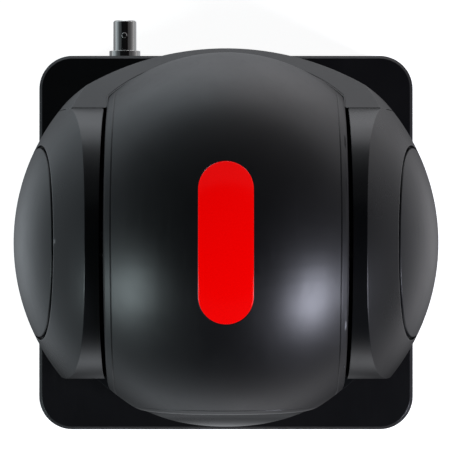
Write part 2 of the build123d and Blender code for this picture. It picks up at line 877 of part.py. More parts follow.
def cap_column(side, radius):
    """A round column through an arm's outer wall, square to the dome where the cap sits."""
    plane = Plane(
        origin=(-side * dome_offset, 0, yoke_dome_height),
        x_dir=(0, 1, 0),
        z_dir=(side * cos(lean), 0, sin(lean)),
    )
    with BuildPart() as column:
        with BuildSketch(plane.offset(cap_start)):
            Circle(radius)
        extrude(amount=yoke_dome_radius)
    return column.part


for side, word in ((-1, "left"), (1, "right")):
    with BuildPart() as arm_cover:
        add(open_shell)
        add(
            slab(
                (min(side * arm_inner, side * reach), -reach, 0),
                (max(side * arm_inner, side * reach), cowl_split, reach),
            ),
            mode=Mode.INTERSECT,
        )
        add(cap_column(side, cap_radius + cap_seam), mode=Mode.SUBTRACT)
        with BuildPart(mode=Mode.PRIVATE) as ledge:
            add(yoke_inner)
            add(yoke_form(2 * yoke_wall), mode=Mode.SUBTRACT)
            add(cap_column(side, cap_radius + cap_ledge), mode=Mode.INTERSECT)
            add(cap_column(side, cap_radius - cap_ledge), mode=Mode.SUBTRACT)
        add(ledge.part)
    arm_cover.part.label = f"arm_cover_{word}"
    export_step(arm_cover.part, f"parts/arm_cover_{word}.step")

    with BuildPart() as side_cap:
        add(yoke_outer)
        add(yoke_inner, mode=Mode.SUBTRACT)
        add(cap_column(side, cap_radius), mode=Mode.INTERSECT)
    side_cap.part.label = f"side_cap_{word}"
    export_step(side_cap.part, f"parts/side_cap_{word}.step")

# Yoke frame: a steel U with a bush hole in each upright, and a motor bracket on the right one
bracket_post_y = bracket_width / 2 - bracket_post_inset

with BuildPart() as yoke_frame:
    with BuildSketch(Plane.XY.offset(frame_bottom)):
        Rectangle(2 * frame_outer, frame_width)
        Circle(hub_bore_radius, mode=Mode.SUBTRACT)
    extrude(amount=frame_thickness)
    with BuildSketch(Plane.YZ.offset(frame_inner), Plane.YZ.offset(-frame_outer)):
        with Locations((0, frame_bottom)):
            Rectangle(frame_width, tilt_height - frame_bottom, align=(Align.CENTER, Align.MIN))
        with Locations((0, tilt_height)):
            Circle(frame_width / 2)
    extrude(amount=frame_thickness)
    add(tilt_cylinder(bush_radius, frame_outer), mode=Mode.SUBTRACT)
    with BuildSketch(Plane.YZ.offset(frame_outer)):
        with Locations((bracket_post_y, tilt_motor_height), (-bracket_post_y, tilt_motor_height)):
            Circle(bracket_post_radius)
    extrude(amount=bracket_place - frame_outer)
    with BuildSketch(Plane.YZ.offset(bracket_place)):
        with Locations((0, tilt_motor_height)):
            Rectangle(bracket_width, bracket_height)
            Circle(tilt_motor_boss, mode=Mode.SUBTRACT)
    extrude(amount=bracket_thickness)
yoke_frame.part.label = "yoke_frame"
export_step(yoke_frame.part, "parts/yoke_frame.step")

# Tilt bushes: a plain flanged ring in each upright
with BuildPart() as tilt_bushes:
    with BuildSketch(Plane.YZ.offset(frame_inner), Plane.YZ.offset(-frame_outer)):
        with Locations((0, tilt_height)):
            Circle(bush_radius - running_fit)
    extrude(amount=frame_thickness)
    with BuildSketch(Plane.YZ.offset(frame_outer), Plane.YZ.offset(-frame_outer - bush_flange_thickness)):
        with Locations((0, tilt_height)):
            Circle(bush_radius + bush_flange)
    extrude(amount=bush_flange_thickness)
    add(tilt_cylinder(shaft_radius + running_fit, frame_outer + bush_flange_thickness), mode=Mode.SUBTRACT)
tilt_bushes.part.label = "tilt_bushes"
export_step(tilt_bushes.part, "parts/tilt_bushes.step")

# Tilt pulleys, belt and motor, outside the frame's right upright
tilt_plane = Plane.YZ.offset(tilt_pulley_place)
tilt_motor_shaft_end = tilt_motor_face + tilt_motor_length / 2
pulley_spot = (0, tilt_height)
tilt_motor_spot = (0, tilt_motor_height)

with BuildPart() as tilt_pulley:
    add(pulley_body(tilt_plane, pulley_spot, tilt_pulley_radius, tilt_pulley_width))
    add(tilt_cylinder(shaft_radius + running_fit, bracket_place), mode=Mode.SUBTRACT)
tilt_pulley.part.label = "tilt_pulley"
export_step(tilt_pulley.part, "parts/tilt_pulley.step")

with BuildPart() as tilt_motor_pulley:
    add(pulley_body(tilt_plane, tilt_motor_spot, tilt_motor_pulley_radius, tilt_pulley_width))
    with BuildSketch(tilt_plane):
        with Locations(tilt_motor_spot):
            Circle(tilt_shaft_hole)
    extrude(amount=tilt_motor_shaft_end - tilt_pulley_place)
tilt_motor_pulley.part.label = "tilt_motor_pulley"
export_step(tilt_motor_pulley.part, "parts/tilt_motor_pulley.step")

with BuildPart() as tilt_belt:
    add(
        belt_body(
            tilt_plane,
            (pulley_spot, tilt_motor_spot),
            (tilt_pulley_radius, tilt_motor_pulley_radius),
            tilt_pulley_width,
        )
    )
tilt_belt.part.label = "tilt_belt"
export_step(tilt_belt.part, "parts/tilt_belt.step")

with BuildPart() as tilt_motor:
    with BuildSketch(Plane.YZ.offset(tilt_motor_face)):
        with Locations(tilt_motor_spot):
            Circle(tilt_motor_radius)
    extrude(amount=tilt_motor_length)
    chamfer(tilt_motor.edges().group_by(Axis.X)[-1], motor_chamfer)
    with BuildSketch(Plane.YZ.offset(tilt_motor_face)):
        with Locations(tilt_motor_spot):
            Circle(tilt_shaft_hole + running_fit)
    extrude(amount=tilt_motor_shaft_end - tilt_motor_face, mode=Mode.SUBTRACT)
tilt_motor.part.label = "tilt_motor"
export_step(tilt_motor.part, "parts/tilt_motor.step")


def front_plane(depth):
    """A plane square to the lens, depth behind the head's front, looking forwards."""
    return Plane(origin=(0, depth - head_front, tilt_height), x_dir=(1, 0, 0), z_dir=(0, -1, 0))


# Head shell: upper and lower halves, open at the sides and round the lens
bezel_seat = 3.5
bezel_spigot = bezel_radius - bezel_seat
tally_width = 19.7
tally_length = 58.0
tally_gap = 0.15
shell_half_width = head_seam_place - seam / 2
chassis_place = 38.0
chassis_thickness = 2.0
side_inner = head_seam_place + seam / 2
tally_flange = 2.0
tally_flange_thickness = 1.5
tally_board_drop = 13.6
tally_board_top = tilt_height + head_radius - tally_board_drop
tally_board_thickness = 1.6
tally_board_width = 34.0
tally_board_length = 44.0
tally_post_x = 14.5
tally_post_y = 15.0
tally_post_radius = 2.0

with BuildPart() as head_shell:
    add(head_form(0, shell_half_width))
    add(head_form(head_wall, shell_half_width), mode=Mode.SUBTRACT)
    with BuildSketch(front_plane(head_wall)):
        Circle(bezel_spigot)
    extrude(amount=head_wall, mode=Mode.SUBTRACT)
    with BuildSketch(Plane.XY.offset(tilt_height)):
        SlotOverall(tally_length, tally_width, rotation=90)
    extrude(amount=head_radius, mode=Mode.SUBTRACT)

with BuildPart() as head_shell_upper:
    add(head_shell.part)
    add(slab((-reach, -reach, tilt_height + seam / 2), (reach, reach, reach)), mode=Mode.INTERSECT)
    with BuildPart(mode=Mode.PRIVATE) as board_posts:
        with BuildSketch(Plane.XY.offset(tally_board_top)):
            with GridLocations(2 * tally_post_x, 2 * tally_post_y, 2, 2):
                Circle(tally_post_radius)
        extrude(amount=head_radius)
        add(head_form(head_wall / 2, shell_half_width), mode=Mode.INTERSECT)
    add(board_posts.part)
head_shell_upper.part.label = "head_shell_upper"
export_step(head_shell_upper.part, "parts/head_shell_upper.step")

with BuildPart() as head_shell_lower:
    add(head_shell.part)
    add(slab((-reach, -reach, 0), (reach, reach, tilt_height - seam / 2)), mode=Mode.INTERSECT)
head_shell_lower.part.label = "head_shell_lower"
export_step(head_shell_lower.part, "parts/head_shell_lower.step")

# Side covers: a disc closing each side of the head, with a lip and a hub ring inside
side_lip_outer = head_arc_shift + sqrt((head_arc_radius - head_wall) ** 2 - shell_half_width**2) - seam
side_lip_wall = 2.5
side_lip_depth = 2.6
side_hub_radius = 11.0

for side, word in ((-1, "left"), (1, "right")):
    with BuildPart() as head_side:
        add(head_form(0, head_half_width))
        rims = head_side.edges().filter_by(GeomType.CIRCLE).sort_by(Axis.X)
        fillet(rims[0 if side < 0 else -1], side_edge)
        add(
            slab(
                (min(side * side_inner, side * reach), -reach, 0),
                (max(side * side_inner, side * reach), reach, reach),
            ),
            mode=Mode.INTERSECT,
        )
        with BuildSketch(Plane.YZ.offset(side * side_inner)):
            with Locations((0, tilt_height)):
                Circle(side_lip_outer)
                Circle(side_lip_outer - side_lip_wall, mode=Mode.SUBTRACT)
        extrude(amount=-side * side_lip_depth)
        with BuildSketch(Plane.YZ.offset(side * side_inner)):
            with Locations((0, tilt_height)):
                Circle(side_hub_radius)
        extrude(amount=-side * (side_inner - chassis_place - chassis_thickness))
        add(tilt_cylinder(shaft_radius + running_fit, head_half_width), mode=Mode.SUBTRACT)
    head_side.part.label = f"head_side_{word}"
    export_step(head_side.part, f"parts/head_side_{word}.step")

# Tally light: a red window flush with the head, held by a flange under the shell, and its board
with BuildPart() as tally_lens:
    add(head_form(0, shell_half_width))
    add(head_form(head_wall, shell_half_width), mode=Mode.SUBTRACT)
    with BuildPart(mode=Mode.PRIVATE) as window_column:
        with BuildSketch(Plane.XY.offset(tilt_height)):
            SlotOverall(tally_length - 2 * tally_gap, tally_width - 2 * tally_gap, rotation=90)
        extrude(amount=head_radius)
    add(window_column.part, mode=Mode.INTERSECT)
    with BuildPart(mode=Mode.PRIVATE) as window_flange_ring:
        with BuildSketch(Plane.XY.offset(tilt_height)):
            SlotOverall(tally_length + 2 * tally_flange, tally_width + 2 * tally_flange, rotation=90)
        extrude(amount=head_radius)
        add(head_form(head_wall, shell_half_width), mode=Mode.INTERSECT)
        add(head_form(head_wall + tally_flange_thickness, shell_half_width), mode=Mode.SUBTRACT)
    add(window_flange_ring.part)
tally_lens.part.label = "tally_lens"
export_step(tally_lens.part, "parts/tally_lens.step")

with BuildPart() as tally_board:
    with BuildSketch(Plane.XY.offset(tally_board_top)):
        Rectangle(tally_board_width, tally_board_length)
    extrude(amount=-tally_board_thickness)
tally_board.part.label = "tally_board"
export_step(tally_board.part, "parts/tally_board.step")

# Front bezel: a ring whose edge carries on the head's curve, with a spigot in the shell's opening
barrel_radius = 24.0
bezel_fit = 0.5
bezel_hole = barrel_radius + bezel_fit
bezel_thickness = 2.0
bezel_side = 0.2
bezel_lean = 58
bezel_round = 6.0
bezel_crown = 0.2
spigot_depth = 3.5


def turned(plane, outline):
    """A solid turned about the lens axis from an outline of (radius, distance forwards) points."""
    with BuildPart() as solid:
        with BuildSketch(plane):
            Polygon(*outline, align=None)
        revolve(axis=lens_axis)
    return solid.part


def lens_section(depth):
    """The half plane that lens pieces are turned from: x is the radius, y runs forwards."""
    return Plane(origin=(0, depth - head_front, tilt_height), x_dir=(1, 0, 0), z_dir=(0, 0, -1))


with BuildPart() as front_bezel:
    edge_way = (-sin(radians(bezel_lean)), cos(radians(bezel_lean)))
    with BuildSketch(lens_section(0)):
        with BuildLine():
            Polyline((bezel_hole, 0), (bezel_radius, 0), (bezel_radius, bezel_side))
            Spline(
                (bezel_radius, bezel_side),
                (bezel_radius - bezel_round, bezel_thickness),
                tangents=(edge_way, (-1, 0)),
            )
            Polyline(
                (bezel_radius - bezel_round, bezel_thickness),
                (bezel_hole, bezel_thickness + bezel_crown),
                (bezel_hole, 0),
            )
        make_face()
    revolve(axis=lens_axis)
    with BuildSketch(front_plane(0)):
        Circle(bezel_spigot - seam)
        Circle(bezel_hole, mode=Mode.SUBTRACT)
    extrude(amount=-spigot_depth)
front_bezel.part.label = "front_bezel"
export_step(front_bezel.part, "parts/front_bezel.step")

# Lens barrel: a tube on a foot, with a bulkhead in front and a rear wall that carry rods and screws
barrel_wall = 2.5
barrel_bore = barrel_radius - barrel_wall
barrel_start = 1.5
barrel_length = 70.0
bulkhead_depth = 13.0
bulkhead_thickness = 2.0
bulkhead_hole = 15.0
rear_wall = 3.0
rear_hole = 8.0
rod_radius = 1.0
rod_inset = 3.0
rod_place = barrel_bore - rod_inset
lead_radius = 1.5
lead_length_behind = 10.0
foot_width = 24.0
foot_length = 44.0
foot_start = 20.0
tray_drop = 27.0
tray_top = tilt_height - tray_drop
tray_thickness = 2.0
barrel_end = barrel_start + barrel_length
rear_wall_start = barrel_end - rear_wall
rod_spots = [(0, rod_place), (0, -rod_place)]
screw_spots = [(rod_place, 0), (-rod_place, 0)]
sensor_post_place = 16.0
sensor_post_radius = 2.0
sensor_gap = 2.0

with BuildPart() as lens_barrel:
    with BuildSketch(front_plane(barrel_start)):
        Circle(barrel_radius)
    extrude(amount=-barrel_length)
    with BuildSketch(Plane.XY.offset(tray_top)):
        with Locations((0, foot_start - head_front)):
            Rectangle(foot_width, foot_length, align=(Align.CENTER, Align.MIN))
    extrude(amount=tilt_height - tray_top)
    with BuildSketch(front_plane(barrel_start)):
        Circle(barrel_bore)
    extrude(amount=-(barrel_length - rear_wall), mode=Mode.SUBTRACT)
    with BuildSketch(front_plane(bulkhead_depth)):
        Circle(barrel_bore + running_fit)
        Circle(bulkhead_hole, mode=Mode.SUBTRACT)
    extrude(amount=-bulkhead_thickness)
    with BuildSketch(front_plane(rear_wall_start)):
        Circle(rear_hole)
    extrude(amount=-rear_wall, mode=Mode.SUBTRACT)
    with BuildSketch(front_plane(bulkhead_depth)):
        with Locations(*rod_spots):
            Circle(rod_radius + running_fit)
        with Locations(*screw_spots):
            Circle(lead_radius + running_fit)
    extrude(amount=-barrel_length, mode=Mode.SUBTRACT)
    with BuildSketch(front_plane(barrel_end)):
        with Locations((sensor_post_place, sensor_post_place), (-sensor_post_place, -sensor_post_place)):
            Circle(sensor_post_radius)
    extrude(amount=-sensor_gap)
lens_barrel.part.label = "lens_barrel"
export_step(lens_barrel.part, "parts/lens_barrel.step")

with BuildPart() as guide_rods:
    with BuildSketch(front_plane(bulkhead_depth)):
        with Locations(*rod_spots):
            Circle(rod_radius)
    extrude(amount=-(barrel_end - bulkhead_depth))
guide_rods.part.label = "guide_rods"
export_step(guide_rods.part, "parts/guide_rods.step")

# Lens glass: a disc with an outer curve on each side
glass_edge = 3.0
glass_bulge = 1.8


def lens_glass(depth, radius):
    """A lens whose edge starts at a depth behind the head's front."""
    curve_radius = (radius**2 + glass_bulge**2) / (2 * glass_bulge)
    with BuildPart() as glass:
        with BuildSketch(lens_section(depth)):
            with BuildLine():
                RadiusArc((0, glass_bulge), (radius, 0), curve_radius)
                Line((radius, 0), (radius, -glass_edge))
                RadiusArc((radius, -glass_edge), (0, -glass_edge - glass_bulge), curve_radius)
                Line((0, -glass_edge - glass_bulge), (0, glass_bulge))
            make_face()
        revolve(axis=lens_axis)
    return glass


front_glass_depth = 5.0
front_lens = lens_glass(front_glass_depth, barrel_bore - running_fit)
front_lens.part.label = "front_lens"
export_step(front_lens.part, "parts/front_lens.step")

# Trim ring round the front lens, which it keeps in the barrel
trim_front = 1.9
trim_lip = 1.2
trim_overlap = 1.2
trim_radius = bezel_hole - seam
trim_front_hole = trim_radius - trim_lip
trim_back_hole = barrel_bore - trim_overlap

with BuildPart() as lens_trim_ring:
    add(
        turned(
            lens_section(0),
            (
                (trim_radius, -barrel_start),
                (trim_radius, trim_front),
                (trim_front_hole, trim_front),
                (trim_back_hole, -barrel_start),
            ),
        )
    )
lens_trim_ring.part.label = "lens_trim_ring"
export_step(lens_trim_ring.part, "parts/lens_trim_ring.step")

# Moving lens groups: a cell on the rods with a nut on its own screw, clear of the other screw
cell_gap = 0.6
cell_radius = barrel_bore - cell_gap
cell_thickness = 6.0
cell_fit = 0.7
zoom_depth = 18.0
zoom_glass_radius = 13.0
focus_depth = 48.0
focus_glass_radius = 10.0


def lens_cell(depth, glass_radius, side):
    """A lens cell whose nut is on the right (side 1) or the left (side -1)."""
    with BuildPart() as cell:
        with BuildSketch(front_plane(depth)):
            Circle(cell_radius)
            Circle(glass_radius + running_fit, mode=Mode.SUBTRACT)
            with Locations(*rod_spots):
                Circle(rod_radius + running_fit, mode=Mode.SUBTRACT)
            with Locations((side * rod_place, 0)):
                Circle(lead_radius + running_fit, mode=Mode.SUBTRACT)
            with Locations((-side * rod_place, 0)):
                Circle(lead_radius + cell_fit, mode=Mode.SUBTRACT)
        extrude(amount=-cell_thickness)
    return cell


glass_inset = (cell_thickness - glass_edge) / 2

zoom_cell = lens_cell(zoom_depth, zoom_glass_radius, 1)
zoom_cell.part.label = "zoom_cell"
export_step(zoom_cell.part, "parts/zoom_cell.step")

zoom_lens = lens_glass(zoom_depth + glass_inset, zoom_glass_radius)
zoom_lens.part.label = "zoom_lens"
export_step(zoom_lens.part, "parts/zoom_lens.step")

focus_cell = lens_cell(focus_depth, focus_glass_radius, -1)
focus_cell.part.label = "focus_cell"
export_step(focus_cell.part, "parts/focus_cell.step")

focus_lens = lens_glass(focus_depth + glass_inset, focus_glass_radius)
focus_lens.part.label = "focus_lens"
export_step(focus_lens.part, "parts/focus_lens.step")

# Lead screws, from the bulkhead back into the two lens motors
lead_start = bulkhead_depth + running_fit
lead_end = barrel_end + lead_length_behind

for side, word in ((1, "zoom"), (-1, "focus")):
    with BuildPart() as lead_screw:
        with BuildSketch(front_plane(lead_start)):
            with Locations((side * rod_place, 0)):
                Circle(lead_radius)
        extrude(amount=-(lead_end - lead_start))
    lead_screw.part.label = f"{word}_screw"
    export_step(lead_screw.part, f"parts/{word}_screw.step")

lens_motor_radius = 5.0
lens_motor_length = 12.0

with BuildPart() as lens_motors:
    with BuildSketch(front_plane(barrel_end)):
        with Locations(*screw_spots):
            Circle(lens_motor_radius)
    extrude(amount=-lens_motor_length)
    with BuildSketch(front_plane(barrel_end)):
        with Locations(*screw_spots):
            Circle(lead_radius + running_fit)
    extrude(amount=-lead_length_behind, mode=Mode.SUBTRACT)
lens_motors.part.label = "lens_motors"
export_step(lens_motors.part, "parts/lens_motors.step")

# Sensor board on two posts of the rear wall, with the sensor facing the lens
sensor_board_side = 36.0
sensor_board_thickness = 1.6
sensor_width = 12.0
sensor_height = 9.0
sensor_thickness = 1.5

with BuildPart() as sensor_board:
    with BuildSketch(front_plane(barrel_end + sensor_gap)):
        Rectangle(sensor_board_side, sensor_board_side)
        with Locations(*screw_spots):
            Circle(lens_motor_radius + seam, mode=Mode.SUBTRACT)
    extrude(amount=-sensor_board_thickness)
    with BuildSketch(front_plane(barrel_end + sensor_gap)):
        Rectangle(sensor_width, sensor_height)
    extrude(amount=sensor_thickness)
sensor_board.part.label = "sensor_board"
export_step(sensor_board.part, "parts/sensor_board.step")

# Head chassis: a tray under the barrel with an upright for each tilt shaft
tray_margin = 1.4
tray_front = foot_start - head_front - tray_margin
tray_back = 30.0
upright_width = 24.0
chassis_outer = chassis_place + chassis_thickness

with BuildPart() as head_chassis:
    with BuildSketch(Plane.XY.offset(tray_top)):
        with Locations((0, (tray_front + tray_back) / 2)):
            Rectangle(2 * chassis_outer, tray_back - tray_front)
    extrude(amount=-tray_thickness)
    with BuildSketch(Plane.YZ.offset(chassis_place), Plane.YZ.offset(-chassis_outer)):
        with Locations((0, tray_top - tray_thickness)):
            Rectangle(upright_width, tray_drop + tray_thickness, align=(Align.CENTER, Align.MIN))
        with Locations((0, tilt_height)):
            Circle(upright_width / 2)
    extrude(amount=chassis_thickness)
    add(tilt_cylinder(shaft_radius + running_fit, chassis_outer), mode=Mode.SUBTRACT)
head_chassis.part.label = "head_chassis"
export_step(head_chassis.part, "parts/head_chassis.step")

# Tilt shafts: hollow stubs with a flange inside the chassis, the right one long enough for the pulley
shaft_flange = 12.0
shaft_flange_thickness = 2.5
shaft_bore = 4.0
shaft_end = bracket_place - bracket_clearance
left_shaft_end = frame_outer + bush_flange_thickness + running_fit

for side, word, end in ((-1, "left", left_shaft_end), (1, "right", shaft_end)):
    with BuildPart() as tilt_shaft:
        with BuildSketch(Plane.YZ.offset(side * (chassis_place - shaft_flange_thickness))):
            with Locations((0, tilt_height)):
                Circle(shaft_radius)
        extrude(amount=side * (end - chassis_place + shaft_flange_thickness))
        with BuildSketch(Plane.YZ.offset(side * chassis_place)):
            with Locations((0, tilt_height)):
                Circle(shaft_flange)
        extrude(amount=-side * shaft_flange_thickness)
        add(tilt_cylinder(shaft_bore, end), mode=Mode.SUBTRACT)
    tilt_shaft.part.label = f"tilt_shaft_{word}"
    export_step(tilt_shaft.part, f"parts/tilt_shaft_{word}.step")
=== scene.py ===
import json
from math import atan2, cos, hypot, pi, radians, sin

import bmesh
import bpy
from mathutils import Matrix, Vector


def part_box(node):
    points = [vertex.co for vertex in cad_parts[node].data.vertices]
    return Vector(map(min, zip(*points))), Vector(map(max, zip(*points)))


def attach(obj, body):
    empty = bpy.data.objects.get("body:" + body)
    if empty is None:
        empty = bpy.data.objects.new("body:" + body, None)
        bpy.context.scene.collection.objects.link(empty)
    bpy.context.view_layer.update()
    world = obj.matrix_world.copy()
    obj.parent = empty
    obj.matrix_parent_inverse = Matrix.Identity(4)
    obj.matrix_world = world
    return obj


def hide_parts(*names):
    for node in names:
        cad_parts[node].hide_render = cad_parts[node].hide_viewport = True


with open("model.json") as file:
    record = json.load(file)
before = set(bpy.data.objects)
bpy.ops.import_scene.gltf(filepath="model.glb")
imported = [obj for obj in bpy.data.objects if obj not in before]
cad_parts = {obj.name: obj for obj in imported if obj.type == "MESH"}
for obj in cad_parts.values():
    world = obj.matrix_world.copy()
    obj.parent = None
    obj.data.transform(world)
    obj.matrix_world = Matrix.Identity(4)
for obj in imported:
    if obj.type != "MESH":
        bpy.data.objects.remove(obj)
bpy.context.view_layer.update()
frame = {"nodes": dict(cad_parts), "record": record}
nodes = frame["nodes"]

# Heights from the base's underside in metres, and the rear panel's face along Y
FLOOR_HEIGHT = -0.0025
BOARD_TOP = 0.0146
TILT_AXIS = 0.127
PANEL_FACE = 0.0765

# A fold sharper than this keeps a crisp edge
CRISP_FOLD = radians(32)


# Sockets of a shader node take a number, a colour or a link.
def wire(tree, value, socket):
    """Links a socket to another, or writes a plain value into it."""
    if isinstance(value, bpy.types.NodeSocket):
        tree.links.new(value, socket)
    else:
        socket.default_value = value


def put(tree, kind, wires=None, **settings):
    """Adds a node, sets its options and wires its inputs by name or number."""
    node = tree.nodes.new(kind)
    for option, value in settings.items():
        setattr(node, option, value)
    for socket, value in (wires or {}).items():
        wire(tree, value, node.inputs[socket])
    return node


def sum_up(tree, operation, first, second=0.0, third=0.0):
    """One step of arithmetic."""
    node = put(tree, "ShaderNodeMath", {0: first, 1: second, 2: third}, operation=operation)
    return node.outputs[0]


def times(tree, first, second):
    """The product of two values."""
    return sum_up(tree, "MULTIPLY", first, second)


def blend(tree, share, first, second):
    """A colour between two colours."""
    node = put(tree, "ShaderNodeMix", data_type="RGBA")
    wire(tree, share, node.inputs[0])
    wire(tree, first, node.inputs[6])
    wire(tree, second, node.inputs[7])
    return node.outputs[2]


def rescale(tree, value, low, high, to_low=0.0, to_high=1.0):
    """A value moved from one range to another, held inside it."""
    wires = {"Value": value, "From Min": low, "From Max": high, "To Min": to_low, "To Max": to_high}
    return put(tree, "ShaderNodeMapRange", wires).outputs[0]


def place(tree, stretch=(1.0, 1.0, 1.0)):
    """The point on the piece in its own metres, stretched along each axis."""
    point = put(tree, "ShaderNodeTexCoord").outputs["Object"]
    if stretch == (1.0, 1.0, 1.0):
        return point
    return put(tree, "ShaderNodeVectorMath", {0: point, 1: stretch}, operation="MULTIPLY").outputs[0]


def noise(tree, point, size, detail=2.0):
    """A cloudy value at a point. A larger size makes finer clouds."""
    wires = {"Vector": point, "Scale": size, "Detail": detail}
    return put(tree, "ShaderNodeTexNoise", wires).outputs[0]


def tone(colour, factor, lift=0.0):
    """A colour with its alpha, made darker or lighter and held at full strength."""
    return (*(min(1.0, part * factor + lift) for part in colour), 1.0)


def start_effect(name, inputs, outputs):
    """An empty node group with named number inputs and named outputs. A normal is a vector."""
    tree = bpy.data.node_groups.new(name, "ShaderNodeTree")
    for label, value in inputs.items():
        socket = tree.interface.new_socket(label, in_out="INPUT", socket_type="NodeSocketFloat")
        socket.default_value = value
    for label in outputs:
        kind = "NodeSocketVector" if label == "Normal" else "NodeSocketFloat"
        tree.interface.new_socket(label, in_out="OUTPUT", socket_type=kind)
    return tree, put(tree, "NodeGroupInput").outputs, put(tree, "NodeGroupOutput").inputs


def make_mould_grain():
    """The fine even texture that a spark-eroded mould leaves on plastic."""
    tree, given, result = start_effect("mould grain", {"Size": 3500.0}, ("Height", "Shade"))
    pit_share = 0.6
    fine = noise(tree, place(tree), given["Size"])
    pits = put(tree, "ShaderNodeTexVoronoi", {"Vector": place(tree), "Scale": given["Size"]})
    height = sum_up(tree, "MULTIPLY_ADD", pits.outputs["Distance"], pit_share, fine)
    wire(tree, height, result["Height"])
    wire(tree, rescale(tree, fine, 0.3, 0.7), result["Shade"])
    return tree


def make_handling():
    """Broad faint patches left by hands, and streaks left by cloths."""
    tree, given, result = start_effect("handling", {"Size": 40.0}, ("Patch", "Streak"))
    streak_finer, streak_stretch = 12.0, (1.0, 0.15, 1.0)
    broad = noise(tree, place(tree), given["Size"], detail=4.0)
    wire(tree, rescale(tree, broad, 0.35, 0.65), result["Patch"])
    along = noise(tree, place(tree, streak_stretch), times(tree, given["Size"], streak_finer))
    wire(tree, rescale(tree, along, 0.55, 0.75), result["Streak"])
    return tree


def make_edge_wear():
    """Rounds an edge, and says where it is rubbed: where the surface turns within a short way."""
    inputs = {"Width": 0.0008, "Patchiness": 0.5}
    tree, given, result = start_effect("edge wear", inputs, ("Mask", "Normal"))
    patch_size, flat, folded = 260.0, 0.995, 0.8
    soft = put(tree, "ShaderNodeBevel", {"Radius": given["Width"]}, samples=6).outputs[0]
    plain = put(tree, "ShaderNodeNewGeometry").outputs["Normal"]
    match = put(tree, "ShaderNodeVectorMath", {0: soft, 1: plain}, operation="DOT_PRODUCT")
    fold = rescale(tree, match.outputs["Value"], flat, folded)
    patches = rescale(tree, noise(tree, place(tree), patch_size, detail=3.0), 0.35, 0.65)
    kept = times(tree, patches, given["Patchiness"])
    whole = sum_up(tree, "SUBTRACT", 1.0, given["Patchiness"])
    wire(tree, times(tree, fold, sum_up(tree, "ADD", kept, whole)), result["Mask"])
    wire(tree, soft, result["Normal"])
    return tree


def make_machining():
    """Fine lines left by a tool or a roller, along Y."""
    tree, given, result = start_effect("machining", {"Size": 900.0}, ("Height", "Shade"))
    line_stretch = (1.0, 0.04, 1.0)
    lines = noise(tree, place(tree, line_stretch), given["Size"], detail=5.0)
    wire(tree, lines, result["Height"])
    wire(tree, rescale(tree, lines, 0.35, 0.65), result["Shade"])
    return tree


GRAIN = make_mould_grain()
HANDLING = make_handling()
EDGE_WEAR = make_edge_wear()
MACHINING = make_machining()


def effect(tree, group, **values):
    """Places an effect's group in a material, and gives its outputs."""
    node = put(tree, "ShaderNodeGroup", node_tree=group)
    for label, value in values.items():
        node.inputs[label].default_value = value
    return node.outputs


def start_material(name, viewport):
    """A material with one Principled shader, ready to be wired."""
    material = bpy.data.materials.new(name)
    material.use_nodes = True
    material.diffuse_color = (*viewport, 1.0)
    tree = material.node_tree
    return material, tree, tree.nodes["Principled BSDF"]


def raise_surface(tree, shader, height, depth, strength, normal):
    """Bumps a surface by a height, on top of a normal."""
    wires = {"Height": height, "Distance": depth, "Strength": strength, "Normal": normal}
    wire(tree, put(tree, "ShaderNodeBump", wires).outputs[0], shader.inputs["Normal"])


def plastic(
    name,
    colour,
    rough,
    grain=3500.0,
    depth=0.00002,
    worn=None,
    shine=0.5,
    soft=0.0007,
    glow=None,
):
    """Moulded plastic: grain in its colour and bump, hands in its roughness, soft rubbed edges."""
    material, tree, shader = start_material(name, colour)
    darker, lighter, rubbing = 0.86, 1.14, 0.7
    smoothest, patch_dulls, streak_dulls, rub_polishes = rough - 0.02, 0.05, 0.03, -0.06
    bump_strength, glow_dimmer = 0.6, 0.97
    texture = effect(tree, GRAIN, Size=grain)
    hands = effect(tree, HANDLING, Size=35.0)
    edge = effect(tree, EDGE_WEAR, Width=soft, Patchiness=0.6)
    bare = tone(worn, 1.0) if worn else tone(colour, 1.8, 0.004)
    body = blend(tree, texture["Shade"], tone(colour, darker), tone(colour, lighter))
    rubbed = blend(tree, times(tree, edge["Mask"], rubbing), body, bare)
    wire(tree, rubbed, shader.inputs["Base Color"])
    patchy = sum_up(tree, "MULTIPLY_ADD", hands["Patch"], patch_dulls, smoothest)
    streaky = sum_up(tree, "MULTIPLY_ADD", hands["Streak"], streak_dulls, patchy)
    dulled = sum_up(tree, "MULTIPLY_ADD", edge["Mask"], rub_polishes, streaky)
    wire(tree, dulled, shader.inputs["Roughness"])
    raise_surface(tree, shader, texture["Height"], depth, bump_strength, edge["Normal"])
    shader.inputs["Specular IOR Level"].default_value = shine
    if glow:
        lit = blend(tree, texture["Shade"], tone(glow, glow_dimmer), tone(glow, 1.0))
        wire(tree, lit, shader.inputs["Emission Color"])
        shader.inputs["Emission Strength"].default_value = 1.0
    return material


def metal(name, colour, rough, lines=900.0, depth=0.000006):
    """Worked metal: tool lines in its colour, roughness and bump, and brighter edges."""
    material, tree, shader = start_material(name, colour)
    darker, brighter = 0.8, 1.2
    smoothest, patch_dulls, line_dulls = rough - 0.05, 0.08, 0.06
    bump_strength = 0.7
    marks = effect(tree, MACHINING, Size=lines)
    hands = effect(tree, HANDLING, Size=60.0)
    edge = effect(tree, EDGE_WEAR, Width=0.0005, Patchiness=0.4)
    body = blend(tree, marks["Shade"], tone(colour, darker), tone(colour, 1.0))
    worn = blend(tree, edge["Mask"], body, tone(colour, brighter))
    wire(tree, worn, shader.inputs["Base Color"])
    shader.inputs["Metallic"].default_value = 1.0
    patchy = sum_up(tree, "MULTIPLY_ADD", hands["Patch"], patch_dulls, smoothest)
    dulled = sum_up(tree, "MULTIPLY_ADD", marks["Shade"], line_dulls, patchy)
    wire(tree, dulled, shader.inputs["Roughness"])
    raise_surface(tree, shader, marks["Height"], depth, bump_strength, edge["Normal"])
    return material


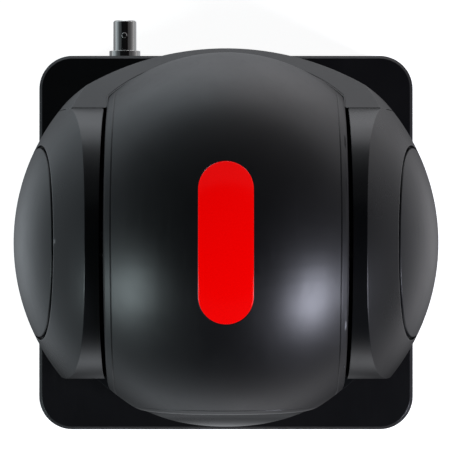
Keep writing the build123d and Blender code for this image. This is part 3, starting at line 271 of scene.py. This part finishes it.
def glass(name, tint):
    """Clear coated glass, with a bloom in its roughness."""
    material, tree, shader = start_material(name, tint)
    smoothest, bloom, darker = 0.02, 0.02, 0.94
    hands = effect(tree, HANDLING, Size=90.0)
    body = blend(tree, hands["Patch"], tone(tint, 1.0), tone(tint, darker))
    wire(tree, body, shader.inputs["Base Color"])
    dulled = sum_up(tree, "MULTIPLY_ADD", hands["Patch"], bloom, smoothest)
    wire(tree, dulled, shader.inputs["Roughness"])
    shader.inputs["Transmission Weight"].default_value = 1.0
    shader.inputs["IOR"].default_value = 1.5
    shader.inputs["Thin Film Thickness"].default_value = 430.0
    shader.inputs["Thin Film IOR"].default_value = 1.38
    return material


# Each finish: its material's name, its colour and how rough it is
finishes = {
    "base_plastic": plastic("base_shell_plastic", (0.004, 0.004, 0.0045), 0.42),
    "cover_gloss": plastic(
        "base_cover_plastic", (0.0058, 0.0056, 0.0063), 0.34, depth=0.000012, soft=0.0004
    ),
    "head_plastic": plastic(
        "head_plastic", (0.0042, 0.0042, 0.0046), 0.38, depth=0.000012, soft=0.0005
    ),
    "yoke_plastic": plastic(
        "yoke_plastic", (0.0036, 0.004, 0.0045), 0.29, depth=0.000008, soft=0.0004
    ),
    "cap_plastic": plastic(
        "side_cap_plastic", (0.0072, 0.0078, 0.0085), 0.34, depth=0.00001, soft=0.0005
    ),
    "bezel_gloss": plastic("bezel_plastic", (0.004, 0.004, 0.0044), 0.36),
    "tally_red": plastic(
        "tally_window_plastic",
        (0.35, 0.0, 0.0),
        0.16,
        depth=0.000004,
        soft=0.0003,
        glow=(0.66, 0.0, 0.0),
    ),
    "dark_window": plastic("remote_window_plastic", (0.012, 0.002, 0.003), 0.1, depth=0.000003),
    "light_guide": plastic("status_light_plastic", (0.3, 0.34, 0.3), 0.35, depth=0.000008),
    "panel_paint": plastic(
        "rear_panel_powder_coat", (0.008, 0.008, 0.009), 0.5, grain=1800.0, depth=0.00005
    ),
    "plate_steel": metal("zinc_plated_sheet", (0.5, 0.51, 0.53), 0.38),
    "bright_steel": metal("turned_steel", (0.62, 0.62, 0.63), 0.22, lines=1500.0),
    "foot_rubber": plastic(
        "foot_rubber", (0.012, 0.012, 0.012), 0.75, grain=2200.0, depth=0.00005, shine=0.25
    ),
    "belt_rubber": plastic(
        "belt_rubber", (0.01, 0.01, 0.01), 0.7, grain=2600.0, depth=0.00004, shine=0.25
    ),
    "brass": metal("turned_brass", (0.72, 0.53, 0.24), 0.25, lines=1500.0),
    "nickel": metal("nickel_plating", (0.82, 0.81, 0.78), 0.09, lines=1500.0, depth=0.0000004),
    "socket_black": plastic("socket_plastic", (0.01, 0.01, 0.011), 0.45),
    "insulator": plastic(
        "socket_insulator", (0.75, 0.74, 0.7), 0.4, depth=0.000008, worn=(0.8, 0.79, 0.75)
    ),
    "board_green": plastic("solder_mask", (0.01, 0.1, 0.035), 0.25, grain=1200.0, depth=0.00001),
    "bearing_plastic": plastic(
        "bearing_plastic", (0.6, 0.57, 0.47), 0.45, worn=(0.66, 0.63, 0.54)
    ),
    "motor_metal": metal("motor_can_steel", (0.52, 0.52, 0.53), 0.3),
    "machined_aluminium": metal("machined_aluminium", (0.66, 0.67, 0.69), 0.28),
    "inner_plastic": plastic("lens_cell_plastic", (0.006, 0.006, 0.006), 0.55),
    "lens_glass": glass("lens_glass", (0.97, 0.98, 1.0)),
    "rocker_black": plastic("rocker_plastic", (0.008, 0.008, 0.009), 0.35),
}

for part in frame["record"]["subparts"]:
    node = nodes[part["node"]]
    node.data.materials.clear()
    node.data.materials.append(finishes[part["material_slot"]])


# Shapes that the small pieces are worked from
def turn(work, outline, start, way, steps=32, closed=False):
    """Turns (radius, distance) points about a line. A third number gives a radius lobes."""
    aim = Vector(way).to_track_quat("Z", "Y").to_matrix()
    lobe_count = 6
    rings = []
    for radius, along, *lobes in outline:
        ring = []
        for step in range(steps if radius else 1):
            angle = 2 * pi * step / steps
            reach = radius * (1 + sum(lobes) * cos(lobe_count * angle))
            spot = Vector((reach * cos(angle), reach * sin(angle), along))
            ring.append(work.verts.new(Vector(start) + aim @ spot))
        rings.append(ring)
    pairs = list(zip(rings, rings[1:]))
    if closed:
        pairs.append((rings[-1], rings[0]))
    for near, far in pairs:
        for step in range(steps):
            after = step + 1
            corners = (
                near[step % len(near)],
                near[after % len(near)],
                far[after % len(far)],
                far[step % len(far)],
            )
            work.faces.new(tuple(dict.fromkeys(corners)))


def block(work, low, high, edge=0.0):
    """Adds a box between two corners, with its edges rounded."""
    low, high = Vector(low), Vector(high)
    where = Matrix.LocRotScale((low + high) / 2, None, high - low)
    made = bmesh.ops.create_cube(work, size=1.0, matrix=where)
    if edge:
        edges = {e for corner in made["verts"] for e in corner.link_edges}
        bmesh.ops.bevel(
            work, geom=list(edges), offset=edge, segments=2, affect="EDGES", profile=0.5
        )


def bar(work, points, radius, steps=8):
    """Adds a round wire through points, with each end bevelled."""
    tip, bevel = radius * 0.8, radius * 0.2
    for start, end in zip(points, points[1:]):
        way = Vector(end) - Vector(start)
        length = way.length
        outline = [(0, 0), (tip, 0), (radius, bevel)]
        outline += [(radius, length - bevel), (tip, length), (0, length)]
        turn(work, outline, start, way, steps)


def cord(work, points, radius, steps=10):
    """Adds one closed round bead that follows points."""
    points = [Vector(p) for p in points]
    last = len(points) - 1
    rings = []
    for number, point in enumerate(points):
        way = points[min(number + 1, last)] - points[max(number - 1, 0)]
        aim = way.to_track_quat("Z", "Y").to_matrix()
        ring = []
        for step in range(steps):
            angle = 2 * pi * step / steps
            spot = Vector((radius * cos(angle), radius * sin(angle), 0))
            ring.append(work.verts.new(point + aim @ spot))
        rings.append(ring)
    for near, far in zip(rings, rings[1:]):
        shift = min(range(steps), key=lambda s: (near[0].co - far[s].co).length)
        for step in range(steps):
            after = step + 1
            work.faces.new((
                near[step],
                near[after % steps],
                far[(after + shift) % steps],
                far[(step + shift) % steps],
            ))
    work.faces.new(rings[0])
    work.faces.new(rings[-1])


def prism(work, slices):
    """Adds one closed strip through slices, each a ring of the same number of points."""
    rings = [[work.verts.new(point) for point in points] for points in slices]
    count = len(rings[0])
    for near, far in zip(rings, rings[1:]):
        for step in range(count):
            after = (step + 1) % count
            work.faces.new((near[step], near[after], far[after], far[step]))
    work.faces.new(rings[0])
    work.faces.new(rings[-1])


def section(name, x):
    """The points of a node where a plane of constant x cuts it."""
    node = nodes[name]
    work = bmesh.new()
    work.from_mesh(node.data)
    everything = work.verts[:] + work.edges[:] + work.faces[:]
    cut = bmesh.ops.bisect_plane(work, geom=everything, plane_co=(x, 0, 0), plane_no=(1, 0, 0))
    points = [item for item in cut["geom_cut"] if isinstance(item, bmesh.types.BMVert)]
    spots = [node.matrix_world @ point.co for point in points]
    work.free()
    return spots


def finish_piece(name, work, slot, body, stands_for=()):
    """Makes a piece of what was worked, gives it its finish and lets it ride on a body."""
    bmesh.ops.recalc_face_normals(work, faces=work.faces)
    mesh = bpy.data.meshes.new(name)
    work.to_mesh(mesh)
    work.free()
    mesh.materials.append(finishes[slot])
    mesh.shade_smooth()
    mesh.set_sharp_from_angle(angle=CRISP_FOLD)
    piece = bpy.data.objects.new(name, mesh)
    bpy.context.scene.collection.objects.link(piece)
    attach(piece, body)
    if stands_for:
        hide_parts(*stands_for)


def corner_spots(spread):
    """Four places at the corners of a square."""
    half = spread / 2
    return [(x, y) for x in (half, -half) for y in (half, -half)]


def row_places(middle, count, pitch):
    """Evenly spaced places, with their middle at a place."""
    return [middle + (number - (count - 1) / 2) * pitch for number in range(count)]


# The small pieces. An outline is a list of (radius, distance along the line) in metres.
def make_cowl_lip():
    """A lip on the cowl's rim, a bead at each end of the rim, a flush strip in each arm's joint."""
    work = bmesh.new()
    low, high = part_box("tilt_bushes")
    axis_height = (low.z + high.z) / 2
    head_skin = ("head_shell_upper", "head_side_left", "head_side_right")
    half_width, parts = 0.0446, 60
    rise, root_share, clearance, widest_gap = 0.0011, -0.4, 0.00012, 0.0008
    lip = []
    for step in range(parts + 1):
        x = half_width * cos(pi * step / parts)
        rim = max(section("rear_cowl", x), key=lambda point: point.z)
        height = rim.z - axis_height
        shell = [hypot(p.y, p.z - axis_height) for name in head_skin for p in section(name, x)]
        reach = max([hypot(rim.y, height) - widest_gap, *shell]) + clearance
        slice_points = [rim]
        for share in (1.0, root_share):
            angle = atan2(height, rim.y) + share * rise / reach
            depth, up = reach * cos(angle), reach * sin(angle)
            slice_points.append(Vector((x, depth, axis_height + up)))
        lip.append(slice_points)
    prism(work, lip)

    bead_radius, bead_low, bead_high = 0.00036, (0.0554, 0.1331), (0.0507, 0.1384)
    joint_start, stride, stations = 0.0462, 0.0006, 25
    arm_behind, cowl_before = 0.05015, 0.05055
    under = Vector((0, -0.0003, -0.0004))
    for side, arm in ((-1, "arm_cover_left"), (1, "arm_cover_right")):
        rim_end = side * half_width
        cord(work, [(rim_end, *bead_low), (rim_end, *bead_high)], bead_radius)
        strip = []
        for step in range(stations):
            x = side * (joint_start + stride * step)
            arm_edge = [p for p in section(arm, x) if p.y > arm_behind]
            cowl_edge = [p for p in section("rear_cowl", x) if p.y < cowl_before]
            if arm_edge and cowl_edge:
                top = [max(edge, key=lambda p: p.z) for edge in (arm_edge, cowl_edge)]
                strip.append([*top, top[1] + under, top[0] + under])
        prism(work, strip)
    finish_piece("cowl_lip", work, "yoke_plastic", "turntable")


def make_head_rings():
    """A thin ring in the seam between the head's shells and each side cover."""
    work = bmesh.new()
    seam, half = 0.04135, 0.00014
    root, shoulder, crown = 0.0572, 0.05763, 0.05768
    outline = [(root, -half), (shoulder, -half), (crown, 0.0), (shoulder, half), (root, half)]
    for side in (-1, 1):
        turn(work, outline, (side * seam, 0, TILT_AXIS), (1, 0, 0), steps=128, closed=True)
    finish_piece("head_seam_rings", work, "head_plastic", "head")


def make_base_screws():
    """Countersunk screws with six-lobed sockets and rolled threads, up through the bottom plate."""
    work = bmesh.new()
    spread, lobing = 0.136, 0.12
    root, crest, tip = 0.00125, 0.00145, 0.012
    turns, first_turn, pitch, steps = 18, 0.0022, 0.0005, 36
    outline = [(0, 0.0013), (0.0011, 0.0012, lobing), (0.00125, 0.0, lobing)]
    outline += [(0.0026, 0.0), (0.00285, 0.0001), (crest, 0.0015), (crest, 0.002)]
    for number in range(turns):
        height = first_turn + number * pitch
        outline += [(root, height), (crest, height + pitch / 2)]
    outline += [(0.0011, 0.0116), (0.0007, tip), (0, tip)]
    for x, y in corner_spots(spread):
        turn(work, outline, (x, y, 0.0), (0, 0, 1), steps)
    finish_piece("base_screw_set", work, "bright_steel", "base", ["base_screws"])


def make_feet():
    """Rubber feet with a moulded ring and a dished middle."""
    work = bmesh.new()
    spread, sole, groove = 0.116, 0.0025, 0.0022
    dish = [(0, 0.0018), (0.003, 0.0019), (0.0034, 0.0024)]
    ring = [(0.0037, sole), (0.0044, sole), (0.0047, groove), (0.0051, groove)]
    rim = [(0.0054, sole), (0.0062, sole), (0.0069, groove)]
    side = [(0.0077, 0.0013), (0.008, 0.0008), (0.008, 0.0), (0, 0.0)]
    for x, y in corner_spots(spread):
        turn(work, dish + ring + rim + side, (x, y, 0.0), (0, 0, -1), steps=48)
    finish_piece("moulded_feet", work, "foot_rubber", "base", ["rubber_feet"])


def make_panel_screws():
    """Pan-head screws that hold the rear panel."""
    work = bmesh.new()
    half_span, heights, lobing = 0.0645, (0.0065, 0.0295), 0.12
    outline = [(0, 0.0003), (0.0007, 0.0003, lobing), (0.0008, 0.0012, lobing)]
    outline += [(0.0011, 0.0013), (0.0015, 0.0009), (0.0017, 0.0003), (0.0017, 0.0), (0, 0.0)]
    for x in (-half_span, half_span):
        for z in heights:
            turn(work, outline, (x, PANEL_FACE, z), (0, 1, 0), steps=36)
    finish_piece("panel_screw_set", work, "bright_steel", "base")


def make_network_contacts():
    """Eight sprung wires that slope down into the network socket's mouth."""
    work = bmesh.new()
    low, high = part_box("network_port")
    middle = (low.x + high.x) / 2
    count, pitch, wire_radius = 8, 0.00102, 0.00017
    path = ((0.0755, 0.0157), (0.0745, 0.0164), (0.0692, 0.0192), (0.0682, 0.0158))
    for x in row_places(middle, count, pitch):
        bar(work, [(x, y, z) for y, z in path], wire_radius)
    finish_piece("network_contacts", work, "brass", "base")


def make_video_tongue():
    """The video socket's tongue with its two rows of contacts."""
    low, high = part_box("video_port")
    middle = (low.x + high.x) / 2
    half, root, tip, under, top, softened = 0.0052, 0.0676, 0.0752, 0.0173, 0.0185, 0.0002
    tongue = bmesh.new()
    block(tongue, (middle - half, root, under), (middle + half, tip, top), softened)
    finish_piece("video_tongue", tongue, "socket_black", "base")
    contacts = bmesh.new()
    pitch, half, back, front = 0.00095, 0.0002, 0.0685, 0.0746
    for count, under, top in ((10, 0.01845, 0.01855), (9, 0.01725, 0.01735)):
        for x in row_places(middle, count, pitch):
            block(contacts, (x - half, back, under), (x + half, front, top))
    finish_piece("video_contacts", contacts, "brass", "base")


def make_data_contacts():
    """Four flat contacts under the data socket's tongue."""
    work = bmesh.new()
    low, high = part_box("data_port")
    middle = (low.x + high.x) / 2
    half, back, front = 0.0005, 0.0685, 0.0755
    under, top, softened = 0.01765, 0.01778, 0.00003
    for across in (-0.0035, -0.001, 0.001, 0.0035):
        x = middle + across
        block(work, (x - half, back, under), (x + half, front, top), softened)
    finish_piece("data_contacts", work, "brass", "base")


def make_iris():
    """Six thin blades behind a ring, on four arms, between the two lens groups."""
    work = bmesh.new()
    behind_mouth = 0.0415
    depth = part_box("lens_barrel")[0].y + behind_mouth
    centre = Vector((0, depth, TILT_AXIS))
    inner, outer, half = 0.0105, 0.0155, 0.0006
    outline = [(inner, -half), (outer, -half), (outer, half), (inner, half)]
    turn(work, outline, centre, (0, 1, 0), steps=48, closed=True)
    arm_start, arm_end, arm_radius = 0.0152, 0.0213, 0.0008
    for arm in range(4):
        angle = radians(45 + 90 * arm)
        out = Vector((cos(angle), 0, sin(angle)))
        bar(work, [centre + out * arm_start, centre + out * arm_end], arm_radius, steps=12)
    finish_piece("iris_ring", work, "inner_plastic", "head")

    blades = bmesh.new()
    rim, opening, behind, lift, thickness = 0.0112, 0.0048, 0.0008, 0.00004, 0.00003
    edge = ((-34, rim), (0, rim), (34, rim), (50, opening), (-10, opening))
    for blade in range(6):
        y = depth + behind + lift * blade
        corners = []
        for turned_by, radius in edge:
            angle = radians(60 * blade) + radians(turned_by)
            corners.append((radius * cos(angle), y, TILT_AXIS + radius * sin(angle)))
        faces = [blades.faces.new([blades.verts.new(c) for c in corners])]
        bmesh.ops.solidify(blades, geom=faces, thickness=thickness)
    finish_piece("iris_blades", blades, "motor_metal", "head")


def make_baffle():
    """Sharp rings in the barrel's mouth that stop stray light, and a mask before the rods."""
    work = bmesh.new()
    inside_mouth, before_rods = 0.0067, 0.0022
    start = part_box("lens_barrel")[0].y + inside_mouth
    teeth, pitch, tooth_depth = 5, 0.0008, 0.0006
    crest, root, back, back_start, back_end = 0.0203, 0.0213, 0.02145, -0.0002, 0.0042
    outline = []
    for tooth in range(teeth):
        along = start + tooth * pitch
        outline += [(crest, along), (root, along + tooth_depth)]
    outline += [(back, start + back_end), (back, start + back_start)]
    turn(work, outline, (0, 0, TILT_AXIS), (0, 1, 0), steps=64, closed=True)

    mask_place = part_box("guide_rods")[0].y - before_rods
    lip, inner, outer, half = 0.0158, 0.0161, 0.0213, 0.0003
    mask = [(lip, 0.0), (inner, -half), (outer, -half), (outer, half), (inner, half)]
    turn(work, mask, (0, mask_place, TILT_AXIS), (0, 1, 0), steps=96, closed=True)
    finish_piece("lens_baffle", work, "inner_plastic", "head")


def make_board_parts():
    """Chips and capacitors on the main board. Places and chip sizes are in millimetres."""
    softened = 0.00015
    chips = bmesh.new()
    for x, y, wide, deep, tall in (
        (-18, 24, 14, 14, 1.4),
        (8, 40, 9, 9, 1.0),
        (-36, 46, 7, 5, 1.2),
        (30, 44, 10, 6, 1.5),
        (46, 30, 5, 6, 1.8),
        (-46, 26, 8, 6, 1.1),
        (18, 54, 6, 6, 0.9),
        (-6, 56, 5, 4, 0.9),
    ):
        low = ((x - wide / 2) / 1000, (y - deep / 2) / 1000, BOARD_TOP)
        high = ((x + wide / 2) / 1000, (y + deep / 2) / 1000, BOARD_TOP + tall / 1000)
        block(chips, low, high, softened)
    finish_piece("board_chips", chips, "socket_black", "base")

    cans = bmesh.new()
    radius, neck, height = 0.0031, 0.0029, 0.007
    outline = [(0, 0.0), (0.003, 0.0), (radius, 0.0006), (neck, 0.001), (radius, 0.0014)]
    outline += [(radius, 0.0066), (0.0028, height), (0, height)]
    for x, y in ((-52, 4), (-44, 4), (44, 8), (52, 8), (52, 18)):
        turn(cans, outline, (x / 1000, y / 1000, BOARD_TOP), (0, 0, 1), steps=24)
    finish_piece("board_capacitors", cans, "motor_metal", "base")


def make_tally_lights():
    """Small lamps on the board under the red window."""
    work = bmesh.new()
    half, half_gap, pitch, rows = 0.0014, 0.005, 0.0055, 7
    under, top, softened = 0.1855, 0.1866, 0.0002
    for x in (-half_gap, half_gap):
        for y in row_places(0.0, rows, pitch):
            block(work, (x - half, y - half, under), (x + half, y + half, top), softened)
    finish_piece("tally_lights", work, "insulator", "head")


make_cowl_lip()
make_head_rings()
make_base_screws()
make_feet()
make_panel_screws()
make_network_contacts()
make_video_tongue()
make_data_contacts()
make_iris()
make_baffle()
make_board_parts()
make_tally_lights()


# Stage: a white floor, a studio that is black overhead, and two soft lamps in front
def from_middle(tree, sideways=1.0):
    """How far a point of the floor is from its middle, with its sideways part stretched."""
    point = place(tree, (sideways, 1.0, 1.0))
    return put(tree, "ShaderNodeVectorMath", {0: point}, operation="LENGTH").outputs["Value"]


def front_paper(tree, point, around):
    """The glow of the sheet in front: dim near the object as a painted shadow of it, dim also at its
    corners and far away.
    """
    # Far away it fades, and its left side glows a little more.
    fade_start, fade_end, brightest, faintest = 0.35, 1.0, 1.55, 0.35
    half_width, left_glow, right_glow = 0.2, 1.08, 0.9
    aside = from_middle(tree, sideways=3.0)
    fading = rescale(tree, aside, fade_start, fade_end, brightest, faintest)
    sideways = rescale(tree, point["X"], -half_width, half_width, left_glow, right_glow)
    uneven = times(tree, fading, sideways)
    # Near the object it is dim, a painted shadow of the object, but for a small apron before the
    # base.
    dim_end, bright_start, dimmest = 0.2, 0.34, 0.1
    apron_start, apron_end, apron_glow = 0.13, 0.26, 0.5
    shade = rescale(tree, from_middle(tree, sideways=1.8), dim_end, bright_start, dimmest, 1.0)
    in_front = sum_up(tree, "LESS_THAN", point["Y"], 0.0)
    apron = times(tree, rescale(tree, aside, apron_start, apron_end, apron_glow, 0.0), in_front)
    # It is dim at the corners, most at a slant of 45 degrees and near the object, where it deepens
    # the painted shadow.
    corner_start, corner_end, corner_most, corner_least, corner_floor = 0.2, 0.4, 3.1, 0.6, 0.1
    cross = times(tree, point["X"], point["Y"])
    fourth_power = sum_up(tree, "POWER", around, 4.0)
    slant = sum_up(tree, "DIVIDE", times(tree, cross, cross), fourth_power)
    loss = rescale(tree, around, corner_start, corner_end, corner_most, corner_least)
    left_over = sum_up(tree, "SUBTRACT", 1.0, times(tree, slant, loss))
    kept = sum_up(tree, "MAXIMUM", left_over, corner_floor)
    lying = times(tree, sum_up(tree, "MAXIMUM", shade, apron), kept)
    return times(tree, uneven, lying)


def back_paper(tree, around):
    """The glow of the sheet behind: dim near the object as a painted shadow of it, brighter further
    away.
    """
    near, far, near_glow, far_glow = 0.12, 0.34, 0.45, 1.75
    return rescale(tree, around, near, far, near_glow, far_glow)


def make_floor():
    """A wide pale floor that keeps soft shadows, and in gloss shows as glowing sheets of paper with
    a painted shadow of the object near it.
    """
    material = bpy.data.materials.new("floor_paint")
    material.use_nodes = True
    tree = material.node_tree
    tree.nodes.clear()
    path = put(tree, "ShaderNodeLightPath").outputs
    mirrored = sum_up(tree, "MAXIMUM", path["Is Glossy Ray"], path["Is Transmission Ray"])
    point = put(tree, "ShaderNodeSeparateXYZ", {0: place(tree)}).outputs
    around = from_middle(tree)
    in_front, at_back = front_paper(tree, point, around), back_paper(tree, around)
    slope = sum_up(tree, "DIVIDE", sum_up(tree, "MAXIMUM", point["Y"], 0.0), around)
    behind = sum_up(tree, "POWER", slope, 2.0)
    sheets = put(tree, "ShaderNodeMix", {0: behind, 2: in_front, 3: at_back}, data_type="FLOAT")
    left_end, right_end = -0.25, 0.15
    left_tint, right_tint = (0.84, 0.93, 1.0, 1.0), (0.97, 0.96, 1.0, 1.0)
    tint = blend(tree, rescale(tree, point["X"], left_end, right_end), left_tint, right_tint)
    camera_glow = 0.92
    seen_glow = times(tree, path["Is Camera Ray"], camera_glow)
    paint = put(tree, "ShaderNodeBsdfDiffuse", {"Color": (0.8, 0.8, 0.8, 1.0)})
    white = {"Color": (1.0, 1.0, 1.0, 1.0), "Strength": seen_glow}
    pale = put(tree, "ShaderNodeEmission", white)
    both = put(tree, "ShaderNodeAddShader", {0: paint.outputs[0], 1: pale.outputs[0]})
    gleam = put(tree, "ShaderNodeEmission", {"Color": tint, "Strength": sheets.outputs[0]})
    mix = {0: mirrored, 1: both.outputs[0], 2: gleam.outputs[0]}
    shown = put(tree, "ShaderNodeMixShader", mix)
    put(tree, "ShaderNodeOutputMaterial", {"Surface": shown.outputs[0]})
    half = 4.0
    around_floor = ((-half, -half), (half, -half), (half, half), (-half, half))
    mesh = bpy.data.meshes.new("floor")
    mesh.from_pydata([(x, y, FLOOR_HEIGHT) for x, y in around_floor], [], [(0, 1, 2, 3)])
    mesh.materials.append(material)
    floor = bpy.data.objects.new("floor", mesh)
    bpy.context.scene.collection.objects.link(floor)


def make_studio():
    """A plain studio: black overhead, brighter low at the sides and behind, white to the camera."""
    world = bpy.data.worlds.new("studio")
    bpy.context.scene.world = world
    world.use_nodes = True
    tree = world.node_tree
    tree.nodes.clear()
    where = put(tree, "ShaderNodeTexCoord").outputs["Generated"]
    way = put(tree, "ShaderNodeSeparateXYZ", {0: where}).outputs
    # The side walls glow low down, the left one most, and less to the rear. The rear glows too.
    wall_foot, wall_top = 0.02, 0.6
    left_glow, right_glow, rear_share, back_glow = 0.6, 0.22, 0.3, 0.4
    low = rescale(tree, way["Z"], wall_foot, wall_top, 1.0, 0.0)
    wall_glow = rescale(tree, way["X"], -0.1, 0.1, left_glow, right_glow)
    forward = rescale(tree, way["Y"], -0.1, 0.4, 1.0, rear_share)
    sideways = sum_up(tree, "POWER", way["X"], 2.0)
    sides = times(tree, times(tree, sideways, wall_glow), forward)
    backward = sum_up(tree, "MAXIMUM", way["Y"], 0.0)
    behind = times(tree, sum_up(tree, "POWER", backward, 3.0), back_glow)
    glow = times(tree, low, sum_up(tree, "ADD", sides, behind))
    # A faint haze fills the rest, and ends below a black ceiling.
    haze_top, ceiling, haze_glow, ceiling_glow, front_share = 0.8, 0.84, 0.1, 0.008, 0.35
    front_dim = rescale(tree, way["Y"], -0.3, 0.3, front_share, 1.0)
    overhead = rescale(tree, way["Z"], haze_top, ceiling, haze_glow, ceiling_glow)
    strength = sum_up(tree, "ADD", glow, times(tree, overhead, front_dim))
    left_end, right_end = -0.5, 0.3
    left_tint, right_tint = (0.8, 0.92, 1.0, 1.0), (0.96, 0.95, 1.0, 1.0)
    cool = blend(tree, rescale(tree, way["X"], left_end, right_end), left_tint, right_tint)
    walls = put(tree, "ShaderNodeBackground", {"Color": cool, "Strength": strength})
    white = {"Color": (1.0, 1.0, 1.0, 1.0), "Strength": 1.0}
    backdrop = put(tree, "ShaderNodeBackground", white)
    seen = put(tree, "ShaderNodeLightPath").outputs["Is Camera Ray"]
    mix = {0: seen, 1: walls.outputs[0], 2: backdrop.outputs[0]}
    shown = put(tree, "ShaderNodeMixShader", mix)
    put(tree, "ShaderNodeOutputWorld", {"Surface": shown.outputs[0]})


def make_lamp(name, towards, size, power, colour):
    """A soft lamp that faces the object from a direction."""
    distance, aim = 1.3, Vector((0.0, 0.0, 0.1))
    light = bpy.data.lights.new(name, "AREA")
    light.shape = "RECTANGLE"
    light.size, light.size_y = size
    light.energy = power
    light.color = colour
    lamp = bpy.data.objects.new(name, light)
    way = Vector(towards).normalized()
    lamp.location = aim + way * distance
    lamp.rotation_euler = way.to_track_quat("Z", "Y").to_euler()
    bpy.context.scene.collection.objects.link(lamp)


def make_camera():
    """The photo's view: down from 1.1 m with a long lens, a third of a degree off plumb."""
    data = bpy.data.cameras.new("camera")
    data.lens = 207.4
    data.sensor_width = 36.0
    data.clip_start = 0.05
    camera = bpy.data.objects.new("camera", data)
    camera.location = (0.0, 0.0005, 1.1156)
    target = Vector((0.0, 0.0063, TILT_AXIS))
    lean = target - camera.location
    camera.rotation_euler = (atan2(lean.y, -lean.z), 0.0, 0.0)
    bpy.context.scene.collection.objects.link(camera)
    bpy.context.scene.camera = camera


make_floor()
make_studio()
make_lamp("lamp_right", (0.79, -0.48, 0.43), (0.5, 0.45), power=16.4, colour=(0.82, 0.84, 1.0))
make_lamp("lamp_left", (-0.86, -0.39, 0.37), (0.38, 0.62), power=6.6, colour=(0.82, 0.97, 1.0))
make_camera()

bpy.context.scene.view_settings.view_transform = "Standard"
